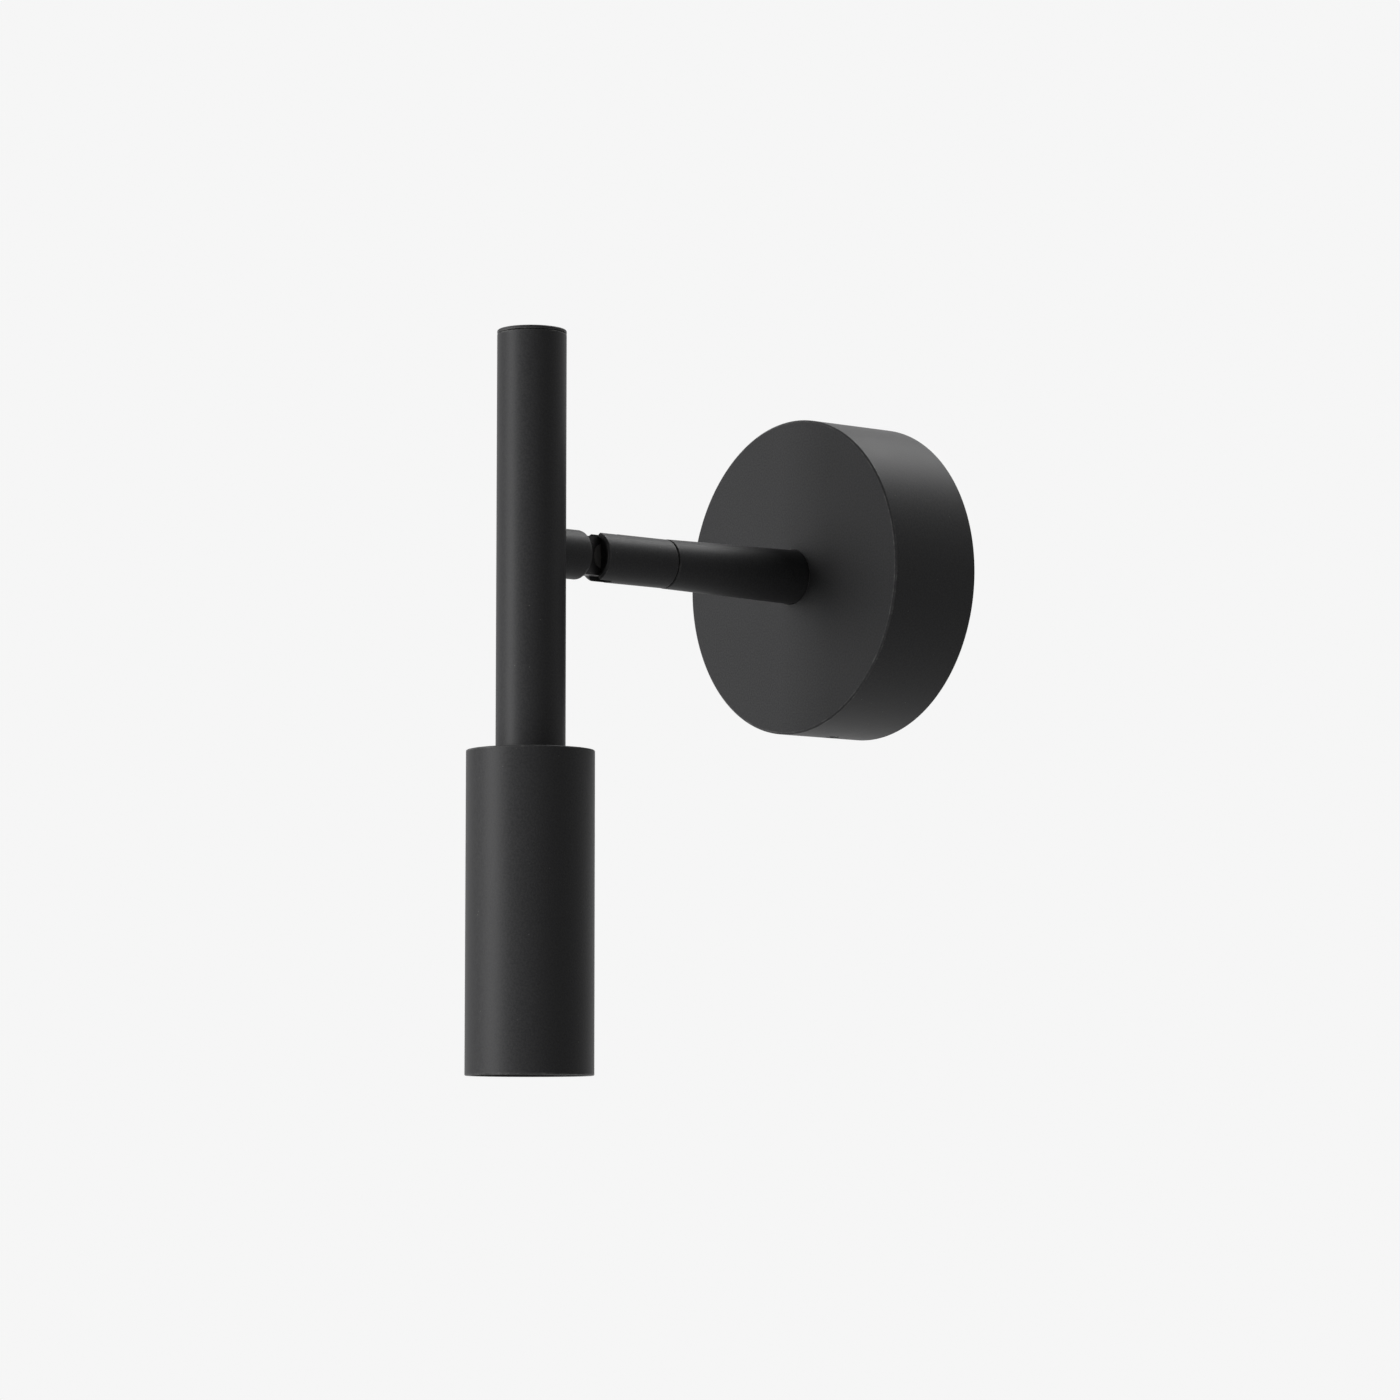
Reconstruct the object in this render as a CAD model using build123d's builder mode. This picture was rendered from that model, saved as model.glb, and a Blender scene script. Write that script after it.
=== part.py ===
from build123d import *

import math
import os

# Pivoting spotlight wall light. The wall is the plane Y = 0 and the arm points along -Y.
# The origin is the centre of the canopy on the wall. "Out" is the distance from the wall.

# ---- Driving dimensions, in millimetres ----------------------------------------------------------

# Wall canopy
canopy_diameter = 100.0
canopy_depth = 33.0
canopy_face_thickness = 2.5
canopy_side_wall = 1.6
canopy_edge_bevel = 0.5
arm_seat_depth = 0.6

# Arm
arm_length = 51.5
arm_base_diameter = 17.2
arm_end_diameter = 15.4
arm_bore_diameter = 10.9
arm_base_thread_length = 10.0
arm_end_plug_length = 10.0

# Swivel between the arm and the barrel
swivel_gap = 0.35
seam_chamfer = 0.25
spindle_diameter = 8.0
spindle_bore_diameter = 4.8
spindle_thread_length = 9.5
spindle_head_diameter = 11.4
spindle_head_height = 2.2
spindle_driver_slot_width = 1.2
spindle_driver_slot_depth = 1.0
swivel_disc_diameter = 10.0
swivel_disc_thickness = 0.25
disc_spring_height = 1.0
disc_spring_thickness = 0.5
stop_pin_diameter = 1.0
stop_pin_circle_diameter = 11.8
stop_pin_seat_depth = 3.0
stop_groove_depth = 1.2
stop_pin_reach = 0.8
swivel_limit = 170.0

# Barrel
barrel_diameter = 15.2
barrel_length = 27.5
barrel_wall = 1.3
barrel_floor = 3.0
barrel_mouth_chamfer = 0.6
fork_recess = 0.9
fork_chamber_diameter = 7.2
set_screw_diameter = 3.0
set_screw_from_mouth = 11.8
set_screw_sunk = 0.3
set_screw_bite = 1.0
set_screw_socket = 1.5
set_screw_socket_depth = 1.1

# Knuckle
knuckle_gap = 5.8
tilt_up_limit = 90.0
tilt_down_limit = 45.0
swing_clearance = 0.5
tongue_thickness = 4.0
tongue_inset = 0.35
tongue_key_depth = 2.0
friction_disc_thickness = 0.2
friction_disc_diameter = 8.0
pivot_pin_diameter = 2.5
shank_diameter = 8.0
shank_bore_diameter = 5.6
wire_slot_width = 1.6

# Stub and slim tube
stub_diameter = 15.2
stub_length = 7.75
stub_edge_radius = 1.4
tube_diameter = 21.2
tube_wall = 1.5
tube_above_arm = 67.5
tube_below_arm = 61.0
cap_flange_thickness = 1.1
cap_edge_radius = 0.4
cap_plug_length = 6.0
cap_plug_wall = 1.2
shank_washer_diameter = 12.8
shank_washer_edge = 0.8
shank_nut_width = 12.0
shank_nut_height = 2.5
shank_end_stand = 0.3
foot_plug_length = 12.0
foot_stud_diameter = 10.0
foot_stud_bore_diameter = 7.0
foot_stud_thread_length = 9.0

# Spot head
head_diameter = 39.0
head_length = 98.0
head_wall = 1.5
head_top_thickness = 2.5
head_edge_radius = 0.35
heat_sink_length = 42.0
heat_sink_base = 6.0
heat_sink_core_diameter = 21.0
fin_count = 8
fin_groove_share = 0.5
led_board_diameter = 24.0
led_board_thickness = 1.6
led_emitter_diameter = 9.0
led_emitter_thickness = 0.6
led_holder_diameter = 34.4
led_holder_height = 4.4
led_holder_opening = 12.4
led_screw_diameter = 2.5
led_screw_circle = 28.4
led_screw_head_diameter = 4.2
led_screw_head_height = 1.4
led_screw_length = 5.0
reflector_height = 22.0
reflector_mouth_diameter = 32.0
reflector_wall = 1.0
reflector_flange = 1.2
bowl_row_shares = (0.0, 0.25, 0.6, 1.0)
lens_thickness = 2.0
gasket_thickness = 0.8
gasket_width = 1.4
baffle_recess = 1.0
baffle_step_count = 7
baffle_throat_diameter = 28.0
baffle_mouth_wall = 1.1

# Wall plate and what it carries
plate_thickness = 2.0
plate_edge_gap = 3.4
wall_screw_spacing = 60.0
wall_slot_width = 4.6
wall_slot_length = 11.0
cable_hole_diameter = 18.0
grommet_bore_diameter = 9.0
grommet_lip = 1.6
grommet_lip_height = 1.4
ear_width = 14.0
ear_reach = 22.0
ear_to_cover_gap = 0.8
cover_screw_diameter = 4.0
cover_screw_length = 5.4
cover_screw_out = 16.0
cover_screw_sunk = 0.2
cover_screw_socket = 2.0
cover_screw_socket_depth = 2.0

# Arm fixing inside the canopy
nipple_diameter = 10.0
nipple_bore_diameter = 6.8
nipple_inside_canopy = 11.0
nut_washer_diameter = 17.0
nut_washer_thickness = 0.8
arm_nut_width = 14.0
arm_nut_height = 3.5
cord_grip_diameter = 14.0
cord_grip_length = 9.0
cord_grip_thread_length = 4.0
grip_screw_diameter = 3.0
grip_screw_stand = 0.6

# Terminal block
terminal_length = 28.0
terminal_width = 15.0
terminal_height = 13.0
terminal_corner = 1.1
terminal_centre_height = 27.0
terminal_pitch = 9.0
terminal_way_diameter = 3.2
terminal_way_depth = 5.0
terminal_way_out = 5.5
terminal_screw_diameter = 3.0
terminal_screw_row = 7.5
terminal_screw_depth = 5.0
terminal_screw_sunk = 1.5
terminal_base_screw_diameter = 2.5
terminal_base_screw_head = 4.4

# Driver
driver_length = 50.0
driver_width = 24.0
driver_height = 20.0
driver_corner = 2.0
driver_edge_gap = 2.1
driver_wall = 1.4
driver_lid_height = 6.0
driver_ear_length = 7.0
driver_ear_thickness = 2.4
driver_screw_diameter = 3.0
driver_screw_head_diameter = 5.4
driver_screw_head_height = 1.8
board_thickness = 1.6
board_standoff = 2.0

# Parts on the driver's board, as shares of the board's length, width and free height
transformer_length_share = 0.3
transformer_width_share = 0.75
capacitor_diameter_share = 0.36
capacitor_spread_along = 0.68
capacitor_spread_across = 0.45
capacitor_height_share = 0.8

# Wiring
supply_wire_diameter = 2.0
supply_wire_bend = 12.0
supply_wire_straight = 6.0
live_inlet_share = 0.36
neutral_inlet_share = 0.2
lead_diameter = 3.6
lead_bend = 6.0
lead_turn_out = 8.0
lead_past_spindle = 6.0
lamp_wire_diameter = 1.2
lamp_wire_height = 2.1
lamp_wire_spacing = 1.8
lamp_wire_bend = 3.6
earth_screw_across = 20.0
earth_screw_above_driver = 7.5
earth_screw_diameter = 4.0
earth_screw_head_diameter = 7.0
earth_screw_head_height = 2.2
earth_tag_diameter = 7.4
earth_tag_thickness = 0.8

# Slots of the small slotted screws, as shares of their diameter
screw_slot_width_share = 0.2
screw_slot_depth_share = 0.3

# Clearances
thread_clearance = 0.05
running_clearance = 0.05
fixed_clearance = 0.02
slide_clearance = 0.15
free_clearance = 0.3

# ---- Places and sizes that follow from them ------------------------------------------------------

canopy_radius = canopy_diameter / 2
canopy_inner_radius = canopy_radius - canopy_side_wall
canopy_inside_out = canopy_depth - canopy_face_thickness
driver_corner_radius = canopy_inner_radius - driver_edge_gap
driver_centre_depth = math.sqrt(driver_corner_radius**2 - (driver_length / 2) ** 2) - driver_width / 2
driver_top = driver_width / 2 - driver_centre_depth
earth_screw_height = driver_top + earth_screw_above_driver
arm_foot_out = canopy_depth - arm_seat_depth
arm_base_radius = arm_base_diameter / 2
arm_end_radius = arm_end_diameter / 2
arm_end_out = canopy_depth + arm_length
barrel_radius = barrel_diameter / 2
barrel_inner_radius = barrel_radius - barrel_wall
barrel_back_out = arm_end_out + swivel_gap
barrel_mouth_out = barrel_back_out + barrel_length
floor_front_out = barrel_back_out + barrel_floor
spindle_head_out = floor_front_out + disc_spring_height + running_clearance
spindle_tip_out = spindle_head_out + spindle_head_height
spindle_radius = spindle_diameter / 2
stub_radius = stub_diameter / 2
stub_end_out = barrel_mouth_out + knuckle_gap
knuckle_radius = max(barrel_radius, stub_radius)
pivot_out = stub_end_out - knuckle_radius - swing_clearance
tube_radius = tube_diameter / 2
tube_inner_radius = tube_radius - tube_wall
tube_out = stub_end_out + stub_length + tube_radius
fork_radius = barrel_inner_radius - fixed_clearance
fork_back_out = spindle_tip_out + free_clearance
fork_front_out = barrel_mouth_out - fork_recess
tongue_half_height = fork_radius - tongue_inset
slot_width = tongue_thickness + 2 * (friction_disc_thickness + running_clearance)
slot_round_radius = tongue_half_height + free_clearance
flank_in_round = math.sqrt(slot_round_radius**2 - tongue_half_height**2)
shank_radius = shank_diameter / 2
pin_radius = pivot_pin_diameter / 2
lamp_wire_radius = lamp_wire_diameter / 2

head_top = -tube_below_arm
head_bottom = head_top - head_length
head_radius = head_diameter / 2
head_inner_radius = head_radius - head_wall
head_ceiling = head_top - head_top_thickness
heat_sink_bottom = head_ceiling - heat_sink_length
heat_sink_radius = head_inner_radius - slide_clearance
led_board_bottom = heat_sink_bottom - led_board_thickness
led_holder_bottom = heat_sink_bottom - led_holder_height
reflector_bottom = led_holder_bottom - reflector_height
lens_radius = head_inner_radius - slide_clearance
lens_bottom = reflector_bottom - lens_thickness
gasket_bottom = lens_bottom - gasket_thickness
baffle_bottom = head_bottom + baffle_recess

arm_axis = Axis.Y
lamp_axis = Axis((0, -tube_out, 0), (0, 0, 1))
beside_arm = Plane.XY
beside_lamp = Plane(origin=(0, -tube_out, 0), x_dir=(1, 0, 0), z_dir=(0, -1, 0))
side_view = Plane.YZ


def facing_room(out, across=0.0, height=0.0):
    """Plane parallel to the wall, at a distance from it, that faces the room with its Y upwards."""
    return Plane(origin=(across, -out, height), x_dir=(1, 0, 0), z_dir=(0, -1, 0))


def level(height):
    """Level plane at a height, centred on the lamp's upright axis."""
    return Plane(origin=(0, -tube_out, height), x_dir=(1, 0, 0), z_dir=(0, 0, 1))


def arm_profile(*radius_and_out):
    """Closed outline beside the arm's axis, from pairs of radius and distance from the wall."""
    with BuildSketch(beside_arm) as outline:
        with BuildLine():
            Polyline(*[(radius, -out) for radius, out in radius_and_out], close=True)
        make_face()
    return outline.sketch


def lamp_profile(*radius_and_height):
    """Closed outline beside the lamp's upright axis, from pairs of radius and height."""
    with BuildSketch(beside_lamp) as outline:
        with BuildLine():
            Polyline(*radius_and_height, close=True)
        make_face()
    return outline.sketch


def arm_ring(radius_in, radius_out, back_out, front_out):
    """Section of a plain ring about the arm's axis."""
    return arm_profile(
        (radius_in, back_out),
        (radius_out, back_out),
        (radius_out, front_out),
        (radius_in, front_out),
    )


def lamp_ring(radius_in, radius_out, top, bottom):
    """Section of a plain ring about the lamp's upright axis."""
    return lamp_profile((radius_in, top), (radius_out, top), (radius_out, bottom), (radius_in, bottom))


def start_of(route):
    """Plane across the start of a wire's route."""
    return Plane(origin=route.line @ 0, z_dir=route.line % 0)


finished = []


def finish(block, name):
    """Names a finished piece and keeps it for writing."""
    block.part.label = name
    finished.append(block.part)


# ---- Wall plate ----------------------------------------------------------------------------------

ear_outer_height = math.sqrt(canopy_inner_radius**2 - (ear_width / 2) ** 2) - ear_to_cover_gap / 2
cable_hole_radius = cable_hole_diameter / 2
driver_screw_across = driver_length / 2 + driver_ear_length / 2
driver_screw_places = (
    (-driver_screw_across, -driver_centre_depth),
    (driver_screw_across, -driver_centre_depth),
)
terminal_base_screw_across = terminal_pitch / 2

with BuildPart() as wall_plate:
    with BuildSketch(facing_room(0)):
        Circle(canopy_inner_radius - plate_edge_gap)
        Rectangle(ear_width, 2 * ear_outer_height)
        Circle(cable_hole_radius, mode=Mode.SUBTRACT)
        with GridLocations(wall_screw_spacing, 1, 2, 1):
            SlotOverall(wall_slot_length, wall_slot_width, mode=Mode.SUBTRACT)
        with Locations((earth_screw_across, earth_screw_height)):
            Circle(earth_screw_diameter / 2 + thread_clearance, mode=Mode.SUBTRACT)
        with Locations((terminal_base_screw_across, terminal_centre_height)):
            Circle(terminal_base_screw_diameter / 2 + thread_clearance, mode=Mode.SUBTRACT)
        with Locations(*driver_screw_places):
            Circle(driver_screw_diameter / 2 + thread_clearance, mode=Mode.SUBTRACT)
    extrude(amount=plate_thickness)
    with BuildSketch(facing_room(0)):
        ear_middle_height = ear_outer_height - plate_thickness / 2
        with Locations((0, ear_middle_height), (0, -ear_middle_height)):
            Rectangle(ear_width, plate_thickness)
    extrude(amount=ear_reach)
    with BuildSketch(Plane.XY.offset(-canopy_radius)):
        with Locations((0, -cover_screw_out)):
            Circle(cover_screw_diameter / 2 + thread_clearance)
    extrude(amount=canopy_diameter, mode=Mode.SUBTRACT)
finish(wall_plate, "wall_plate")

grommet_groove_radius = cable_hole_radius - fixed_clearance
grommet_lip_radius = cable_hole_radius + grommet_lip
grommet_bore_radius = grommet_bore_diameter / 2

with BuildPart() as cable_grommet:
    revolve(
        arm_profile(
            (grommet_bore_radius, 0),
            (grommet_groove_radius, 0),
            (grommet_groove_radius, plate_thickness),
            (grommet_lip_radius, plate_thickness),
            (grommet_lip_radius, plate_thickness + grommet_lip_height / 2),
            (grommet_groove_radius, plate_thickness + grommet_lip_height),
            (grommet_bore_radius, plate_thickness + grommet_lip_height),
        ),
        axis=arm_axis,
    )
finish(cable_grommet, "cable_grommet")

# ---- Canopy cover --------------------------------------------------------------------------------

arm_seat_radius = arm_base_radius + slide_clearance
nipple_radius = nipple_diameter / 2
nipple_hole_radius = nipple_radius + slide_clearance

with BuildPart() as canopy_cover:
    revolve(
        arm_profile(
            (canopy_radius, 0),
            (canopy_radius, canopy_depth - canopy_edge_bevel),
            (canopy_radius - canopy_edge_bevel, canopy_depth),
            (arm_seat_radius, canopy_depth),
            (arm_seat_radius, arm_foot_out),
            (nipple_hole_radius, arm_foot_out),
            (nipple_hole_radius, canopy_inside_out),
            (canopy_inner_radius, canopy_inside_out),
            (canopy_inner_radius, 0),
        ),
        axis=arm_axis,
    )
    with BuildSketch(Plane.XY.offset(-canopy_radius)):
        with Locations((0, -cover_screw_out)):
            Circle(cover_screw_diameter / 2 + slide_clearance)
    extrude(amount=canopy_diameter, mode=Mode.SUBTRACT)
finish(canopy_cover, "canopy_cover")

cover_screw_tip = canopy_radius - cover_screw_sunk

with BuildPart() as cover_screws:
    for side in (1, -1):
        with BuildSketch(Plane(origin=(0, -cover_screw_out, side * cover_screw_tip), z_dir=(0, 0, -side))):
            Circle(cover_screw_diameter / 2)
        extrude(amount=cover_screw_length)
        with BuildSketch(Plane(origin=(0, -cover_screw_out, side * cover_screw_tip), z_dir=(0, 0, -side))):
            RegularPolygon(cover_screw_socket / 2, 6, major_radius=False)
        extrude(amount=cover_screw_socket_depth, mode=Mode.SUBTRACT)
finish(cover_screws, "cover_screws")

# ---- Terminal block ------------------------------------------------------------------------------

terminal_front_out = plate_thickness + terminal_height
terminal_screw_top_out = terminal_front_out - terminal_screw_sunk
terminal_bottom = terminal_centre_height - terminal_width / 2
terminal_way_height_out = plate_thickness + terminal_way_out

with BuildPart() as terminal_block:
    with BuildSketch(facing_room(plate_thickness, height=terminal_centre_height)):
        RectangleRounded(terminal_length, terminal_width, terminal_corner)
        with Locations((terminal_base_screw_across, 0)):
            Circle(terminal_base_screw_diameter / 2 + slide_clearance, mode=Mode.SUBTRACT)
    extrude(amount=terminal_height)
    with BuildSketch(facing_room(terminal_front_out, height=terminal_centre_height)):
        with GridLocations(terminal_pitch, terminal_screw_row, 3, 2):
            Circle(terminal_screw_diameter / 2 + thread_clearance)
    extrude(amount=-terminal_screw_sunk - terminal_screw_depth, mode=Mode.SUBTRACT)
    with BuildSketch(facing_room(terminal_front_out, height=terminal_centre_height)):
        with Locations((terminal_base_screw_across, 0)):
            Circle(terminal_base_screw_head / 2 + slide_clearance)
    extrude(amount=-terminal_height / 2, mode=Mode.SUBTRACT)
    with BuildSketch(Plane.XY.offset(terminal_bottom)):
        with Locations((0, -terminal_way_height_out)):
            with GridLocations(terminal_pitch, 1, 3, 1):
                Circle(terminal_way_diameter / 2)
    extrude(amount=terminal_way_depth, mode=Mode.SUBTRACT)
    with BuildSketch(Plane.XY.offset(terminal_bottom + terminal_width)):
        with Locations((0, -terminal_way_height_out)):
            with GridLocations(terminal_pitch, 1, 3, 1):
                Circle(terminal_way_diameter / 2)
    extrude(amount=-terminal_way_depth, mode=Mode.SUBTRACT)
finish(terminal_block, "terminal_block")

with BuildPart() as terminal_screws:
    with BuildSketch(facing_room(terminal_screw_top_out, height=terminal_centre_height)):
        with GridLocations(terminal_pitch, terminal_screw_row, 3, 2):
            Circle(terminal_screw_diameter / 2)
    extrude(amount=-terminal_screw_depth)
    with BuildSketch(facing_room(terminal_screw_top_out, height=terminal_centre_height)):
        with GridLocations(terminal_pitch, terminal_screw_row, 3, 2):
            Rectangle(2 * terminal_screw_diameter, terminal_screw_diameter * screw_slot_width_share)
    extrude(amount=-terminal_screw_diameter * screw_slot_depth_share, mode=Mode.SUBTRACT)
finish(terminal_screws, "terminal_screws")

terminal_base_head_out = terminal_front_out - terminal_height / 2
fixing_screw_seat = facing_room(terminal_base_head_out, terminal_base_screw_across, terminal_centre_height)

with BuildPart() as terminal_fixing_screw:
    with BuildSketch(fixing_screw_seat):
        Circle(terminal_base_screw_head / 2)
    extrude(amount=terminal_base_screw_diameter / 2)
    with BuildSketch(fixing_screw_seat):
        Circle(terminal_base_screw_diameter / 2)
    extrude(amount=-(terminal_base_head_out - free_clearance))
finish(terminal_fixing_screw, "terminal_fixing_screw")

# ---- Earth connection ----------------------------------------------------------------------------

earth_tag_front_out = plate_thickness + earth_tag_thickness
earth_screw_top_out = earth_tag_front_out + earth_screw_head_height
earth_tag_neck = supply_wire_diameter

with BuildPart() as earth_tag:
    with BuildSketch(facing_room(plate_thickness, earth_screw_across, earth_screw_height)):
        Circle(earth_tag_diameter / 2)
        with Locations((0, earth_tag_diameter / 2)):
            Rectangle(earth_tag_neck, earth_tag_diameter)
        Circle(earth_screw_diameter / 2 + slide_clearance, mode=Mode.SUBTRACT)
    extrude(amount=earth_tag_thickness)
finish(earth_tag, "earth_tag")

with BuildPart() as earth_screw:
    with BuildSketch(facing_room(earth_tag_front_out, earth_screw_across, earth_screw_height)):
        Circle(earth_screw_head_diameter / 2)
    extrude(amount=earth_screw_head_height)
    with BuildSketch(facing_room(earth_tag_front_out, earth_screw_across, earth_screw_height)):
        Circle(earth_screw_diameter / 2)
    extrude(amount=-(earth_tag_front_out - free_clearance))
    with BuildSketch(facing_room(earth_screw_top_out, earth_screw_across, earth_screw_height)):
        Rectangle(earth_screw_head_diameter, earth_tag_thickness)
        Rectangle(earth_tag_thickness, earth_screw_head_diameter / 2)
    extrude(amount=-earth_screw_head_height / 2, mode=Mode.SUBTRACT)
finish(earth_screw, "earth_screw")

# ---- Driver --------------------------------------------------------------------------------------

driver_front_out = plate_thickness + driver_height
driver_split_out = driver_front_out - driver_lid_height
board_out = plate_thickness + driver_wall + board_standoff
board_length = driver_length - 2 * driver_wall - 2 * free_clearance
board_width = driver_width - 2 * driver_wall - 2 * free_clearance

with BuildPart() as driver_base:
    with BuildSketch(facing_room(plate_thickness, height=-driver_centre_depth)):
        RectangleRounded(driver_length, driver_width, driver_corner)
    extrude(amount=driver_height - driver_lid_height)
    with BuildSketch(facing_room(plate_thickness, height=-driver_centre_depth)):
        RectangleRounded(driver_length + 2 * driver_ear_length, driver_width / 2, driver_corner)
    extrude(amount=driver_ear_thickness)
    with BuildSketch(facing_room(plate_thickness + driver_wall, height=-driver_centre_depth)):
        Rectangle(driver_length - 2 * driver_wall, driver_width - 2 * driver_wall)
    extrude(amount=driver_height, mode=Mode.SUBTRACT)
    with BuildSketch(facing_room(plate_thickness, height=-driver_centre_depth)):
        with Locations((-driver_screw_across, 0), (driver_screw_across, 0)):
            Circle(driver_screw_diameter / 2 + slide_clearance)
    extrude(amount=driver_ear_thickness, mode=Mode.SUBTRACT)
    with BuildSketch(facing_room(plate_thickness + driver_wall, height=-driver_centre_depth)):
        with GridLocations(board_length - 2 * driver_corner, board_width - 2 * driver_corner, 2, 2):
            Rectangle(driver_corner, driver_corner)
    extrude(amount=board_standoff)
finish(driver_base, "driver_base")

with BuildPart() as driver_lid:
    with BuildSketch(facing_room(driver_split_out, height=-driver_centre_depth)):
        RectangleRounded(driver_length, driver_width, driver_corner)
    extrude(amount=driver_lid_height)
    with BuildSketch(facing_room(driver_split_out, height=-driver_centre_depth)):
        Rectangle(driver_length - 2 * driver_wall, driver_width - 2 * driver_wall)
    extrude(amount=driver_lid_height - driver_wall, mode=Mode.SUBTRACT)
finish(driver_lid, "driver_lid")

with BuildPart() as driver_board:
    with BuildSketch(facing_room(board_out, height=-driver_centre_depth)):
        Rectangle(board_length, board_width)
    extrude(amount=board_thickness)
finish(driver_board, "driver_board")

parts_room = driver_front_out - driver_wall - board_out - board_thickness - 2 * free_clearance
transformer_length = board_length * transformer_length_share
transformer_width = board_width * transformer_width_share
capacitor_radius = board_width * capacitor_diameter_share / 2
capacitor_pitch_along = board_length * capacitor_spread_along
capacitor_pitch_across = board_width * capacitor_spread_across

with BuildPart() as driver_parts:
    with BuildSketch(facing_room(board_out + board_thickness, height=-driver_centre_depth)):
        RectangleRounded(transformer_length, transformer_width, driver_corner / 2)
    extrude(amount=parts_room)
    with BuildSketch(facing_room(board_out + board_thickness, height=-driver_centre_depth)):
        with GridLocations(capacitor_pitch_along, capacitor_pitch_across, 2, 2):
            Circle(capacitor_radius)
    extrude(amount=parts_room * capacitor_height_share)
finish(driver_parts, "driver_parts")

driver_ear_front_out = plate_thickness + driver_ear_thickness

with BuildPart() as driver_screws:
    for across in (-driver_screw_across, driver_screw_across):
        with BuildSketch(facing_room(driver_ear_front_out, across, -driver_centre_depth)):
            Circle(driver_screw_head_diameter / 2)
        extrude(amount=driver_screw_head_height)
        with BuildSketch(facing_room(driver_ear_front_out, across, -driver_centre_depth)):
            Circle(driver_screw_diameter / 2)
        extrude(amount=-(driver_ear_front_out - free_clearance))
finish(driver_screws, "driver_screws")

# ---- Supply wires inside the canopy --------------------------------------------------------------

wire_out = terminal_way_height_out
live_inlet_across = driver_length * live_inlet_share
neutral_inlet_across = driver_length * neutral_inlet_share
supply_wire_radius = supply_wire_diameter / 2


def supply_route(across_above, across_below, end_height, end_out):
    """Points of a wire from a terminal way down to where it ends, with a straight run at each end."""
    return (
        (across_above, -wire_out, terminal_bottom),
        (across_above, -wire_out, terminal_bottom - supply_wire_straight),
        (across_below, -end_out, end_height + supply_wire_straight),
        (across_below, -end_out, end_height),
    )


with BuildPart() as live_wire:
    with BuildLine() as live_route:
        FilletPolyline(
            *supply_route(-terminal_pitch, -live_inlet_across, driver_top, wire_out),
            radius=supply_wire_bend,
        )
    with BuildSketch(start_of(live_route)):
        Circle(supply_wire_radius)
    sweep()
finish(live_wire, "live_wire")

with BuildPart() as neutral_wire:
    with BuildLine() as neutral_route:
        FilletPolyline(
            *supply_route(0, -neutral_inlet_across, driver_top, wire_out),
            radius=supply_wire_bend,
        )
    with BuildSketch(start_of(neutral_route)):
        Circle(supply_wire_radius)
    sweep()
finish(neutral_wire, "neutral_wire")

earth_wire_end = earth_screw_height + earth_tag_diameter
earth_wire_end_out = plate_thickness + supply_wire_radius

with BuildPart() as earth_wire:
    with BuildLine() as earth_route:
        FilletPolyline(
            *supply_route(terminal_pitch, earth_screw_across, earth_wire_end, earth_wire_end_out),
            radius=supply_wire_bend / 2,
        )
    with BuildSketch(start_of(earth_route)):
        Circle(supply_wire_radius)
    sweep()
finish(earth_wire, "earth_wire")

# ---- Arm fixing ----------------------------------------------------------------------------------

nipple_back_out = canopy_inside_out - nipple_inside_canopy
nipple_front_out = arm_foot_out + arm_base_thread_length - free_clearance
washer_back_out = canopy_inside_out - nut_washer_thickness
nut_back_out = washer_back_out - arm_nut_height
grip_front_out = nipple_back_out + cord_grip_thread_length
grip_back_out = grip_front_out - cord_grip_length
lead_radius = lead_diameter / 2

with BuildPart() as arm_nipple:
    revolve(
        arm_ring(nipple_bore_diameter / 2, nipple_radius, nipple_back_out, nipple_front_out),
        axis=arm_axis,
    )
finish(arm_nipple, "arm_nipple")

with BuildPart() as arm_washer:
    revolve(
        arm_ring(
            nipple_radius + slide_clearance,
            nut_washer_diameter / 2,
            washer_back_out,
            canopy_inside_out,
        ),
        axis=arm_axis,
    )
finish(arm_washer, "arm_washer")

with BuildPart() as arm_nut:
    with BuildSketch(facing_room(nut_back_out)):
        RegularPolygon(arm_nut_width / 2, 6, major_radius=False)
        Circle(nipple_radius + thread_clearance, mode=Mode.SUBTRACT)
    extrude(amount=arm_nut_height)
finish(arm_nut, "arm_nut")

grip_screw_out = grip_back_out + (cord_grip_length - cord_grip_thread_length) / 2
grip_screw_outer = cord_grip_diameter / 2 + grip_screw_stand
grip_screw_radius = grip_screw_diameter / 2

with BuildPart() as cord_grip:
    revolve(
        arm_profile(
            (lead_radius + fixed_clearance, grip_back_out),
            (cord_grip_diameter / 2, grip_back_out),
            (cord_grip_diameter / 2, grip_front_out),
            (nipple_radius + thread_clearance, grip_front_out),
            (nipple_radius + thread_clearance, nipple_back_out),
            (lead_radius + fixed_clearance, nipple_back_out),
        ),
        axis=arm_axis,
    )
    with BuildSketch(Plane.YZ):
        with Locations((-grip_screw_out, 0)):
            Circle(grip_screw_radius + thread_clearance)
    extrude(amount=cord_grip_diameter, mode=Mode.SUBTRACT)
finish(cord_grip, "cord_grip")

with BuildPart() as cord_grip_screw:
    with BuildSketch(Plane.YZ.offset(lead_radius + fixed_clearance)):
        with Locations((-grip_screw_out, 0)):
            Circle(grip_screw_radius)
    extrude(amount=grip_screw_outer - lead_radius - fixed_clearance)
    with BuildSketch(Plane.YZ.offset(grip_screw_outer)):
        with Locations((-grip_screw_out, 0)):
            Rectangle(2 * grip_screw_diameter, grip_screw_diameter * screw_slot_width_share)
    extrude(amount=-grip_screw_diameter * screw_slot_depth_share, mode=Mode.SUBTRACT)
finish(cord_grip_screw, "cord_grip_screw")

# ---- Arm -----------------------------------------------------------------------------------------

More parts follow.
